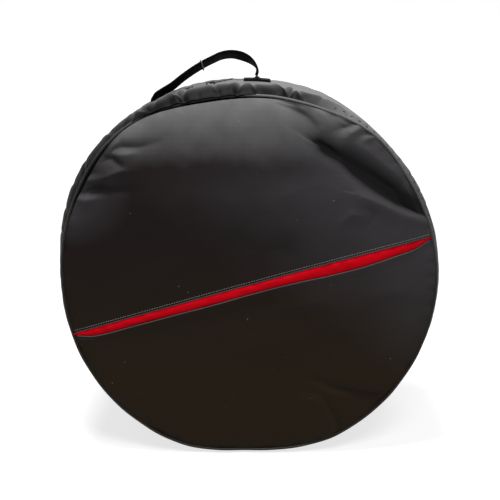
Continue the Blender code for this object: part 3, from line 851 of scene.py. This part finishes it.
def stitch_piece(length, radius):
    """One sewn stitch lying along +Z, the direction that a curve's points face."""
    shape = bmesh.new()
    bmesh.ops.create_uvsphere(shape, u_segments=6, v_segments=4, radius=radius)
    bmesh.ops.scale(shape, vec=(1.0, 1.0, length / 2 / radius), verts=shape.verts)
    return hidden_piece("one_stitch", shape)


def tooth_piece(width, pitch, height):
    """One turn of a zip's coil: a small rounded bar across the tape."""
    shape = bmesh.new()
    bmesh.ops.create_cube(shape, size=1.0)
    bmesh.ops.scale(shape, vec=(height, width, pitch * 0.62), verts=shape.verts)
    bmesh.ops.bevel(shape, geom=shape.edges[:], offset=pitch * 0.16, segments=1, affect="EDGES")
    return hidden_piece("one_tooth", shape)


def make_stitches():
    stitch = stitch_piece(0.0020, 0.00030)
    lines = (
        ("hem_topstitch", hem_drop, 0.0028, upper_y, HEM_THREAD),
        ("mouth_topstitch", mouth_drop, -0.0030, lower_y, BLACK_THREAD),
    )
    for name, drop, shift, surface, finish in lines:
        item = set_along(name, edge_line(drop, shift, surface, 0.0001), 0.0027, stitch, finish)
        dress(item, finish, "lid")


# Walls, piping and linings

# Deep pleats over the wall's front edge: angle and half width in degrees, depth in mm, slant in degrees
PLEATS = [
    (111, 0.8, 4.8, 5), (108.8, 0.6, 3.0, -4), (92.5, 0.7, 2.6, -3), (88.6, 0.6, 1.8, 3), (79.5, 0.9, 4.8, 6),
    (77.0, 0.7, 3.6, -4), (75.2, 0.6, 2.6, 5), (122, 0.8, 3.4, 6), (125, 0.7, 3.0, -4), (133, 0.8, 2.6, 4),
    (144.5, 0.7, 2.0, -5), (151, 0.9, 1.6, 4), (60, 0.7, 1.8, 3), (52, 0.6, 1.8, -3), (47.5, 0.6, 1.6, 2),
    (41, 0.6, 1.8, -2), (37, 0.5, 1.4, 3), (32.5, 0.6, 1.8, 2), (27, 0.5, 1.5, -2), (22.5, 0.5, 1.5, 2),
    (159, 0.8, 1.8, -3), (166, 0.8, 1.6, 3), (118, 0.7, 1.6, -3), (100, 0.7, 1.4, 3), (68, 0.7, 1.5, -4),
]
# The wall's edge at its seam is turned in over this many rows
TURNED_ROWS = 3
# Layers behind the cloth: name, finish, inset from the outline, thickness, fill
LAYERS = (("foam", FOAM, 0.0036, 0.0046, 0.6), ("lining", LINING_CLOTH, 0.0086, 0.0008, None))
LAYER_ROWS = 16


def wall_swell(angle, share, most, pleats):
    """Swelling of a wall between its seams, less by what its gathers and pleats take away."""
    top = np.clip(np.sin(angle), 0, 1)
    if pleats:
        top = near_angle(angle, 96, 34) + 0.35 * near_angle(angle, 116, 14)
    uneven = 0.9 + 0.1 * np.sin(angle * 5 + 1.0)
    swell = most * math.sin(math.pi * share) ** 0.8 * (0.22 + 0.78 * top) * uneven
    gathers = np.abs(np.sin(angle * 31 + 2.2 * np.sin(angle * 6 + 0.5))) ** 5
    taken = 0.0006 * gathers * math.exp(-((share - 0.10) / 0.20) ** 2)
    if pleats:
        along = math.exp(-((share - 0.36) / 0.34) ** 4)
        for degrees, half, depth, slant in PLEATS:
            strength = depth / 1000 * along * (0.35 + 0.65 * float(near_angle(0, degrees - 95, 34)))
            middle = degrees + slant * (share - 0.4)
            taken = taken + strength * near_angle(angle, middle, half)
            taken = taken - 0.4 * strength * near_angle(angle, middle + 2.6 * half, half * 1.4)
    return swell - taken


def wall_grid(angles, ys, inset, relief=0.0, fullness=0.0):
    """A grid (rows along y, columns round the rim) at an inset, raised by relief."""
    rows = []
    for y, raised in zip(ys, np.broadcast_to(relief, (len(ys), len(angles)))):
        x, z = rim(angles, inset - raised, fullness)
        rows.append(np.stack([x, np.full_like(x, y), z], -1))
    return np.array(rows)


def patch_hold(angles, y):
    """1 where a handle patch is sewn flat to the wall and keeps it from swelling, falling to 0 round it."""
    held = np.zeros_like(angles)
    for degrees in PATCH_DEGREES:
        across = np.exp(-(degrees_off(angles, degrees) / 6.5) ** 4)
        held = np.maximum(held, across * math.exp(-((y - PATCH_Y) / 0.022) ** 4))
    return held


def wall_noise(angles, y, size, slant, scale, start):
    """Smooth noise round a wall at one y, from -1 to 1."""
    x, z = np.cos(angles) * size + y * slant, np.sin(angles) * size
    return np.array([noise.noise(Vector((a, start + y * scale, b))) for a, b in zip(x, z)])


def wall_object(name, seam_y, edge_y, run, rows, columns, most, pleats, wrap):
    """A wall's cloth from where it is turned in at its seam to its other edge, and its outer grid."""
    angles = np.linspace(*run, columns, endpoint=not wrap)
    inset_at_seam = seam_inset(angles) if seam_y < 0 else SEAM_INSET
    off_floor = np.clip(np.sin(angles) * 1.6 + 1.62, 0, 1)
    slot = SLOT_DEPTH * seam_slot(angles) if pleats else 0.0
    shares = np.concatenate([np.zeros(TURNED_ROWS), np.linspace(0.0, 1.0, rows) ** 1.25])
    outer, inner = [], []
    for index, share in enumerate(shares):
        y = seam_y + (edge_y - seam_y) * share
        near = abs(y - seam_y) / SHOULDER
        drawn = inset_at_seam * max(1 - near, 0) ** 2.2
        blend = min(near, 1.0)
        full = WALL_FULLNESS * blend + SEAM_FULLNESS * (1 - blend)
        slack = 0.0008 * wall_noise(angles, y, 6, 0, 30, 0.0)
        if not pleats:
            slack = slack + 0.0017 * wall_noise(angles, y, 3.2, 9, 14, 4.0)
        loose = 1 - patch_hold(angles, y)
        relief = wall_swell(angles, share, most, pleats) + slack * min(share * 6, 1) * min((1 - share) * 6, 1)
        relief = relief * off_floor * loose
        turned_in = SEAM_TURNED_IN * max(TURNED_ROWS - 1 - index, 0) / (TURNED_ROWS - 1)
        sunk = slot if index < TURNED_ROWS else 0.0
        for grid, depth in ((outer, 0.0), (inner, FABRIC)):
            x, z = rim(angles, drawn - relief + turned_in + depth, full * loose)
            deep = y + sunk + math.copysign(depth * max(1 - near, 0), -seam_y)
            grid.append(np.stack([x, np.broadcast_to(deep, x.shape), z], -1))
    outer, inner = np.array(outer), np.array(inner)
    return shell_object(name, outer, inner, wrap), outer


def make_wall_stitches(outer):
    """Dark stitches sunk in the skirt beside the piping, on its right shoulder."""
    row = int(np.argmin(np.abs(outer[:, 0, 1] - (-SEAM_Y + 0.0062))))
    angles = np.linspace(*SKIRT_RUN, outer.shape[1])
    chosen = (angles > math.radians(17)) & (angles < math.radians(64))
    points = outer[row, chosen] + [0.0, -0.0002, 0.0]
    item = set_along("skirt_tack_stitches", points, 0.0092, stitch_piece(0.0030, 0.00085), BLACK_THREAD)
    dress(item, BLACK_THREAD, "lid_blend")


def make_walls():
    seam_y = SEAM_Y - PIPE_RADIUS * 0.4
    walls = (
        ("lid_skirt", -seam_y, SKIRT_EDGE, SKIRT_RUN, 34, 1000, SKIRT_SWELL, "lid_blend", 0.5),
        ("body_wall", seam_y, WALL_EDGE, (0, TURN), 50, 720, WALL_SWELL, "root", 0.6),
        ("hinge_web", -seam_y, WALL_EDGE - GAP, WEB_RUN, 24, 120, 0.0, "lid_blend", 0.3),
    )
    for name, from_y, to_y, run, rows, columns, most, body, fill in walls:
        pleats, wrap = name == "lid_skirt", name == "body_wall"
        piece, outer = wall_object(name + "_cloth", from_y, to_y, run, rows, columns, most, pleats, wrap)
        dress(piece, WALL_CLOTH, body, [name])
        if pleats:
            make_wall_stitches(outer)
    make_wall_layers()


def make_wall_layers():
    """Foam and lining behind each wall; the lining is quilted a little between its seams."""
    runs = (
        ("lid_skirt", SKIRT_RUN, "lid_blend", 300, False),
        ("body_wall", (0.0, TURN), "root", 360, True),
        ("hinge_web", WEB_RUN, "lid_blend", 60, False),
    )
    share = np.linspace(0, 1, LAYER_ROWS)
    for name, run, body, columns, wrap in runs:
        angles = np.linspace(*run, columns, endpoint=not wrap)
        seam_y = SEAM_Y if wrap else -SEAM_Y
        drawn = SEAM_INSET if wrap else seam_inset(angles)
        quilt = 0.0012 * np.sin(math.pi * share)[:, None] * np.abs(np.sin(angles * 12))
        for layer, finish, inset, thick, fill in LAYERS:
            node = name + "_" + layer
            low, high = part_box(node)
            ys = low.y + (high.y - low.y) * share
            near = np.clip(1 - np.abs(ys - seam_y) / SHOULDER, 0, 1) ** 2.2
            pressed = near[:, None] * drawn + WALL_FULLNESS * np.clip(-lump(angles), 0, 1)
            relief = -pressed - (quilt if layer == "lining" else 0.0)
            outer = wall_grid(angles, ys, inset, relief)
            inner = wall_grid(angles, ys, inset + thick, relief)
            item = shell_object(node + "_soft", outer, inner, wrap)
            dress(item, finish, body, [node])
            if layer == "lining":
                flat = ((run[1] - run[0]) * (RADIUS - inset), high.y - low.y)
                name + "_foam"


def make_piping():
    angles = around(540)
    wander = 0.0004 * np.sin(angles * 19) + 0.0003 * np.sin(angles * 31 + 1)
    sunk = seam_slot(angles) * (angles < math.radians(135))
    runs = (
        ("front_piping", -SEAM_Y + (SLOT_DEPTH - 0.0018) * sunk, seam(angles, 0.0016 * sunk), "lid"),
        ("back_piping", SEAM_Y, rim(angles, SEAM_INSET, SEAM_FULLNESS), "root"),
    )
    for name, y, (x, z), body in runs:
        cord = tube(name + "_cord", np.stack([x, y + wander, z], -1), CORD_RADIUS, 12, True)
        dress(cord, PIPING, body, [name])


def disc_object(name, outline, rows, faces_at):
    """A round panel inside an outline (x, z); faces_at gives y on its outer and inner face."""
    rx, rz = outline
    share = np.linspace(0.0, 1, rows)[:, None] ** 0.8
    x, z = rx * share, CENTRE_Z + (rz - CENTRE_Z) * share
    outer, inner = (np.stack([x, y, z], -1) for y in faces_at(x, z))
    return shell_object(name, outer, inner, True)


def back_faces(x, z):
    y = back_y(x, z)
    return y, y - FABRIC


def layer_faces(side, layer, low, high):
    """The faces of a disc of foam or lining: the cloth presses the front foam in, and a lining is quilted."""
    def faces_at(x, z):
        near, far = (low.y, high.y) if side == "front" else (high.y, low.y)
        y = np.full_like(x, near)
        if side == "front" and layer == "foam":
            y = np.maximum(y, np.maximum(upper_y(x, z), lower_y(x, z)) + FABRIC + 3 * GAP)
        quilt = np.abs(np.sin(x * 55)) * np.abs(np.sin(z * 55)) * (0.0010 if layer == "lining" else 0.0)
        return y, far + quilt if side == "front" else far - quilt
    return faces_at


def make_discs():
    outline = rim(around(360), SEAM_INSET + PIPE_RADIUS * 0.7, SEAM_FULLNESS)
    back = disc_object("back_cloth", outline, 70, back_faces)
    paint_folds(back, BACK_FOLDS)
    dress(back, FRONT_CLOTH, "root", ["back_panel"])
    for side, body in (("front", "lid"), ("back", "root")):
        for layer, finish, inset, thick, fill in LAYERS:
            node = side + "_" + layer
            rows, columns = (64, 420) if node == "front_foam" else (30, 240)
            angles = around(columns)
            if side == "front":
                outline = seam(angles, panel_edge(angles) + 0.0022)
            else:
                outline = rim(angles, SEAM_INSET + PIPE_RADIUS + 0.0012)
            item = disc_object(node + "_soft", outline, rows, layer_faces(side, layer, *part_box(node)))
            dress(item, finish, body, [node])


def make_bindings():
    share = np.linspace(0, 1, 9)
    angles = around(300)
    relief = 0.0004 * np.sin(math.pi * share)[:, None] * (1 + 0.4 * np.sin(angles * 90))
    for name, body in (("front_seam_binding", "lid"), ("back_seam_binding", "root")):
        low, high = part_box(name)
        ys = low.y + (high.y - low.y) * share
        inset = RADIUS - (high.x - low.x) / 2
        outer = wall_grid(angles, ys, inset)
        inner = wall_grid(angles, ys, inset + 0.0010, -relief)
        item = shell_object(name + "_tape", outer, inner, True)
        dress(item, HEM_CLOTH, body, [name])


# Zip

TAPE_INSET = 0.0013
TAPE_THICK = 0.0006
COIL_INSET = 0.0006
COIL_HEIGHT = 0.0014
TOOTH_PITCH = 0.0017
# The slider's underside, below the pivot of its pull
SLIDER_BASE = -0.0039
END_TAB = math.radians(5.0)


def make_zip():
    angles = np.linspace(*SKIRT_RUN, 420)
    line_angles = np.linspace(*SKIRT_RUN, 1200)
    x, z = rim(line_angles, COIL_INSET, WALL_FULLNESS)
    for side, body in (("lid", "lid_blend"), ("body", "root")):
        low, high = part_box("zip_tape_" + side)
        ys = np.linspace(low.y, high.y, 8)
        outer = wall_grid(angles, ys, TAPE_INSET, fullness=WALL_FULLNESS)
        inner = wall_grid(angles, ys, TAPE_INSET + TAPE_THICK, fullness=WALL_FULLNESS)
        tape = shell_object("zip_tape_" + side + "_cloth", outer, inner)
        dress(tape, ZIP_TAPE_CLOTH, body, ["zip_tape_" + side])
        low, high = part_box("zip_coil_" + side)
        tooth = tooth_piece(high.y - low.y + 0.0002, TOOTH_PITCH, COIL_HEIGHT)
        line = np.stack([x, np.full_like(x, (low.y + high.y) / 2), z], -1)
        coil = set_along("zip_coil_" + side + "_teeth", line, TOOTH_PITCH, tooth, COIL)
        dress(coil, COIL, body, ["zip_coil_" + side])


def rim_matrix(angle, place):
    """A local frame at a place on the rim: x along it, y towards the back, z outwards."""
    outward = Vector((math.cos(angle), 0.0, math.sin(angle)))
    depth = Vector((0.0, 1.0, 0.0))
    made = Matrix((depth.cross(outward), depth, outward)).transposed().to_4x4()
    made.translation = place
    return made


def rounded_block(low, high, round_off, matrix):
    """A block with rounded edges, placed by a matrix."""
    shape = bmesh.new()
    bmesh.ops.create_cube(shape, size=1.0)
    bmesh.ops.scale(shape, vec=[h - l for l, h in zip(low, high)], verts=shape.verts)
    bmesh.ops.translate(shape, vec=[(h + l) / 2 for l, h in zip(low, high)], verts=shape.verts)
    bmesh.ops.bevel(shape, geom=shape.edges[:], offset=round_off, segments=2, affect="EDGES", profile=0.6)
    shape.transform(matrix)
    return shape


def join_shapes(name, shapes):
    """One object from several closed shapes."""
    mesh = bpy.data.meshes.new(name)
    joined = bmesh.new()
    for shape in shapes:
        part = bpy.data.meshes.new("part")
        shape.to_mesh(part)
        shape.free()
        joined.from_mesh(part)
        bpy.data.meshes.remove(part)
    bmesh.ops.recalc_face_normals(joined, faces=joined.faces)
    joined.to_mesh(mesh)
    joined.free()
    mesh.shade_smooth()
    mesh.set_sharp_from_angle(angle=math.radians(35))
    return add_object(name, mesh)


def make_sliders():
    # A plate, two posts and the bridge over them: lower corner, upper corner, rounding
    blocks = (
        ((-0.007, -0.005, SLIDER_BASE), (0.007, 0.005, SLIDER_BASE + 0.0017), 0.0006),
        ((-0.0045, -0.0014, SLIDER_BASE + 0.0012), (-0.0030, 0.0014, 0.0008), 0.0004),
        ((0.0030, -0.0014, SLIDER_BASE + 0.0012), (0.0045, 0.0014, 0.0008), 0.0004),
        ((-0.0045, -0.0014, 0.0007), (0.0045, 0.0014, 0.0015), 0.0003),
    )
    for side, sign in (("left", -1), ("right", 1)):
        pivot = Vector(JOINTS["pull_" + side + "_flip"]["pos_m"])
        matrix = rim_matrix(math.atan2(pivot.z - CENTRE_Z, pivot.x), pivot)
        slider = join_shapes("slider_" + side + "_cast", [rounded_block(*block, matrix) for block in blocks])
        dress(slider, METAL, "slider_" + side, ["zip_slider_" + side])
        tab = pull_tab("pull_" + side + "_tab", sign, matrix)
        dress(tab, METAL, "pull_" + side, ["pull_tab_" + side])


def pull_tab(name, sign, matrix):
    """A flat tab with a round far end, pointed where it hangs from the slider's bridge."""
    length, half, neck, thick = 0.024, 0.0031, 0.0018, 0.0012
    turns = np.linspace(-math.pi / 2, math.pi / 2, 9)
    outline = [(length - half + half * math.cos(turn), half * math.sin(turn)) for turn in turns]
    outline += [(0.006, half), (0.0005, neck), (-0.0010, 0.0), (0.0005, -neck), (0.006, -half)]
    shape = bmesh.new()
    face = shape.faces.new([shape.verts.new((sign * a, b, -thick / 2)) for a, b in outline])
    moved = bmesh.ops.extrude_face_region(shape, geom=[face])
    lifted = [g for g in moved["geom"] if isinstance(g, bmesh.types.BMVert)]
    bmesh.ops.translate(shape, vec=(0, 0, thick), verts=lifted)
    bmesh.ops.recalc_face_normals(shape, faces=shape.faces)
    bmesh.ops.bevel(shape, geom=shape.edges[:], offset=0.00025, segments=1, affect="EDGES")
    shape.transform(matrix)
    return join_shapes(name, [shape])


def make_end_tabs():
    rows, columns = 20, 24
    bulge = np.sin(math.pi * np.linspace(0, 1, rows))[:, None] * np.sin(math.pi * np.linspace(0, 1, columns))
    for side, near in (("left", DOWN - WEB_HALF), ("right", DOWN + WEB_HALF - END_TAB)):
        name = "zip_end_tab_" + side
        low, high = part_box(name)
        angles = np.linspace(near, near + END_TAB, columns)
        ys = np.linspace(low.y, high.y, rows)
        outer = wall_grid(angles, ys, -0.0012, 0.0003 * bulge)
        item = shell_object(name + "_cloth", outer, wall_grid(angles, ys, -0.0004))
        dress(item, WALL_CLOTH, "root", [name])


# Handle

# The strap from left to right: share of half its span, height in m, half width in m, twist in degrees
STRAP_LINE = [
    (-1.0, 0.0042, 0.0026, 0), (-0.985, 0.0064, 0.0044, 4), (-0.96, 0.0078, 0.0066, 6),
    (-0.88, 0.0108, 0.0106, 5), (-0.74, 0.0133, 0.0125, 5), (-0.56, 0.0165, 0.0125, 4),
    (-0.34, 0.0227, 0.0125, 5), (-0.12, 0.0279, 0.0125, 5), (0.10, 0.0320, 0.0125, 5),
    (0.28, 0.0344, 0.0125, 5), (0.46, 0.0362, 0.0124, 4), (0.64, 0.0350, 0.0120, 1),
    (0.80, 0.0307, 0.0112, -4), (0.92, 0.0254, 0.0098, -6), (1.0, 0.0196, 0.0080, -4),
    (1.04, 0.0140, 0.0062, 0), (1.045, 0.0096, 0.0046, 0), (1.025, 0.0064, 0.0034, 0),
    (1.0, 0.0042, 0.0026, 0),
]
STRAP_HALF_SPAN = 0.059
STRAP_THICK = 0.0026
STRAP_LEAN = math.radians(24.0)
THREAD_SHARE = 0.075
THREAD_RADIUS = 0.00055
WEBBING_V = 60
PATCH_HALF = 0.0145
PATCH_POINTS = 30

strap_line = smooth_line(STRAP_LINE, 150)
strap_axis = Vector(JOINTS["handle_swing"]["axis"])
strap_middle = Vector(JOINTS["handle_swing"]["pos_m"])


def squared_turn(turn, first, second):
    """A point on a ring of half width 1, squared off by two powers."""
    c, s = math.cos(turn), math.sin(turn)
    return math.copysign(abs(c) ** first, c), math.copysign(abs(s) ** second, s)


def strap_upright():
    """The direction in which the strap rises: square to its axis, leaning back."""
    up = strap_axis.cross(Vector((0, 1, 0))).normalized()
    if up.z < 0:
        up = -up
    return Matrix.Rotation(-STRAP_LEAN, 3, strap_axis) @ up


upright = strap_upright()
strap_side = strap_axis.cross(upright)


def strap_place(index):
    """The strap's middle at a point of its line, and the direction in which it runs there."""
    share, rise = strap_line[index][:2]
    after = strap_line[min(index + 1, len(strap_line) - 1)]
    before = strap_line[max(index - 1, 0)]
    run = strap_axis * ((after[0] - before[0]) * STRAP_HALF_SPAN) + upright * (after[1] - before[1])
    return strap_middle + strap_axis * (share * STRAP_HALF_SPAN) + upright * rise, run.normalized()


def make_handle():
    """The strap: from its left end it leans back with its inner side to the front, then turns edge-on."""
    profile = [squared_turn(turn, 0.35, 0.5) for turn in around(20)]
    lengthwise = 0.0
    previous = None
    rings, uv_rows = [], []
    for index, (share, rise, width, twist) in enumerate(strap_line):
        centre, run = strap_place(index)
        side = (Matrix.Rotation(math.radians(twist), 3, run) @ strap_side).normalized()
        flat = run.cross(side).normalized()
        if previous is not None:
            lengthwise += (centre - previous).length
        previous = centre
        across = side * (width + 0.00025 * math.sin(lengthwise * 2200))
        through = flat * (STRAP_THICK / 2)
        rings.append([centre + across * a + through * b for a, b in profile])
        uv_rows.append([(lengthwise, a * width * WEBBING_V) for a, b in profile])
    strap = skin("strap_webbing", np.array(rings), False, 60.0)
    layer = strap.data.uv_layers.new(name="strap")
    for loop in strap.data.loops:
        row, corner = divmod(loop.vertex_index, len(profile))
        layer.data[loop.index].uv = uv_rows[row][corner]
    dress(strap, WEBBING, "handle", ["handle_strap"])
    make_thread()
    make_patches()


def make_thread():
    """A pale thread tied once round the strap."""
    index = int(np.argmin(np.abs(strap_line[:, 0] - THREAD_SHARE)))
    width = strap_line[index][2]
    centre, run = strap_place(index)
    across = strap_side * width
    through = run.cross(strap_side).normalized() * (STRAP_THICK / 2 + 0.0005)
    points = []
    for turn in around(64):
        a, b = squared_turn(turn, 0.25, 0.3)
        points.append(centre + across * a + through * b + run * (0.0007 * math.cos(turn)))
    thread = loop_tube("strap_tied_thread", np.array(points), THREAD_RADIUS)
    dress(thread, PALE_THREAD, "handle", ["strap_thread"])


def make_patches():
    """Square webbing patches sewn to the wall, the strap's folded end on each."""
    steps = np.linspace(-PATCH_HALF, PATCH_HALF, PATCH_POINTS)
    for side, degrees in zip(("left", "right"), PATCH_DEGREES):
        angle = math.radians(degrees)
        x, z = rim(angle, 0.0)
        matrix = rim_matrix(angle, (x, PATCH_Y, z))
        outer, inner = [], []
        for v in steps:
            for u in steps:
                sag = -u * u / (2 * RADIUS)
                fold = 0.0024 * math.exp(-(u / 0.0024) ** 2) * (1 if abs(v) < 0.0125 else 0.0)
                outer.append(matrix @ Vector((u, v, sag + 0.0022 + fold)))
                inner.append(matrix @ Vector((u, v, sag + 0.0002)))
        shape = (PATCH_POINTS, PATCH_POINTS, 3)
        name = "handle_patch_" + side
        item = shell_object(name + "_webbing", np.array(outer).reshape(shape), np.array(inner).reshape(shape))
        layer = item.data.uv_layers.new(name="strap")
        back = matrix.inverted()
        for loop in item.data.loops:
            place = back @ item.data.vertices[loop.vertex_index].co
            layer.data[loop.index].uv = (place.x, place.y * WEBBING_V)
        dress(item, WEBBING, "root", [name])


# Studio

AIM = (0.0, -0.05)
# Lamps: name, place, height of the point it is aimed at, size in metres, power in watts
LAMPS = (
    ("overhead", (-0.2, -0.42, 1.8), 0.25, 0.6, 31.0),
    ("upper_front", (0.35, -1.45, 1.65), 0.2, 0.7, 20.5),
)
SURROUND_STRENGTH = 0.15
PAPER_GREY = (0.50, 0.50, 0.50)
NEAR_GLOW = (0.74, 0.74, 0.74)
WHITE = (1.0, 1.0, 1.0)
CAMERA_DISTANCE = 1.2
CAMERA_ELEVATION = math.radians(13.5)
FOCAL_PIXELS = 1147.0
IMAGE_PIXELS = 500.0
SENSOR_MM = 36.0


def make_studio():
    """A white floor and surround that the camera sees as white, and soft lamps above and in front."""
    world = bpy.data.worlds.new("studio")
    bpy.context.scene.world = world
    world.use_nodes = True
    nodes, links = world.node_tree.nodes, world.node_tree.links
    nodes.clear()
    path = nodes.new("ShaderNodeLightPath")
    seen = nodes.new("ShaderNodeMath")
    seen.operation = "MAXIMUM"
    links.new(path.outputs["Is Camera Ray"], seen.inputs[0])
    links.new(path.outputs["Is Glossy Ray"], seen.inputs[1])
    mix, out = nodes.new("ShaderNodeMixShader"), nodes.new("ShaderNodeOutputWorld")
    links.new(seen.outputs[0], mix.inputs["Fac"])
    for slot, strength in ((1, SURROUND_STRENGTH), (2, 1.0)):
        background = nodes.new("ShaderNodeBackground")
        background.inputs["Color"].default_value = (*WHITE, 1)
        background.inputs["Strength"].default_value = strength
        links.new(background.outputs[0], mix.inputs[slot])
    links.new(mix.outputs[0], out.inputs["Surface"])
    make_floor()
    for name, place, height, size, power in LAMPS:
        lamp(name, place, (*AIM, height), size, power)


def make_floor():
    shape = bmesh.new()
    bmesh.ops.create_grid(shape, x_segments=2, y_segments=2, size=40.0)
    mesh = bpy.data.meshes.new("floor")
    shape.to_mesh(mesh)
    shape.free()
    floor = add_object("floor", mesh)
    finish = Finish("floor_paper", roughness=0.9, specular=0.1)
    finish.set("Base Color", PAPER_GREY)
    by_camera = finish.node("ShaderNodeLightPath", "Is Camera Ray")
    by_glossy = finish.node("ShaderNodeLightPath", "Is Glossy Ray")
    away = finish.node("ShaderNodeVectorMath", "Value", {"operation": "LENGTH"}, {0: finish.place()})
    glow = finish.mix(finish.range(away, 0.4, 2.2), NEAR_GLOW, WHITE)
    finish.set("Emission Color", finish.mix(by_camera.math("MAXIMUM", by_glossy), (0.0, 0.0, 0.0), glow))
    finish.set("Emission Strength", 1.0)
    mesh.materials.append(finish.material)


def lamp(name, place, target, size, power):
    data = bpy.data.lights.new(name, "AREA")
    data.shape = "DISK"
    data.size = size
    data.energy = power
    item = add_object(name, data)
    item.location = place
    item.rotation_euler = (Vector(target) - Vector(place)).to_track_quat("-Z", "Y").to_euler()


def make_camera():
    """The photograph's camera: straight at the front and a little above."""
    data = bpy.data.cameras.new("camera")
    data.sensor_width = SENSOR_MM
    data.lens = SENSOR_MM * FOCAL_PIXELS / IMAGE_PIXELS
    data.shift_x = (IMAGE_PIXELS / 2 - PHOTO_CENTRE_X) / IMAGE_PIXELS
    data.shift_y = (PHOTO_CENTRE_Y - IMAGE_PIXELS / 2) / IMAGE_PIXELS
    camera = add_object("camera", data)
    back = Vector((0.0, -math.cos(CAMERA_ELEVATION), math.sin(CAMERA_ELEVATION)))
    camera.location = Vector((0.0, -SEAM_Y, CENTRE_Z)) + back * CAMERA_DISTANCE
    camera.rotation_euler = (-back).to_track_quat("-Z", "Y").to_euler()
    bpy.context.scene.camera = camera
    bpy.context.scene.view_settings.view_transform = "Standard"


make_camera()
make_studio()
make_front()
make_hems()
make_stitches()
make_walls()
make_piping()
make_discs()
make_bindings()
make_zip()
make_sliders()
make_end_tabs()
make_handle()
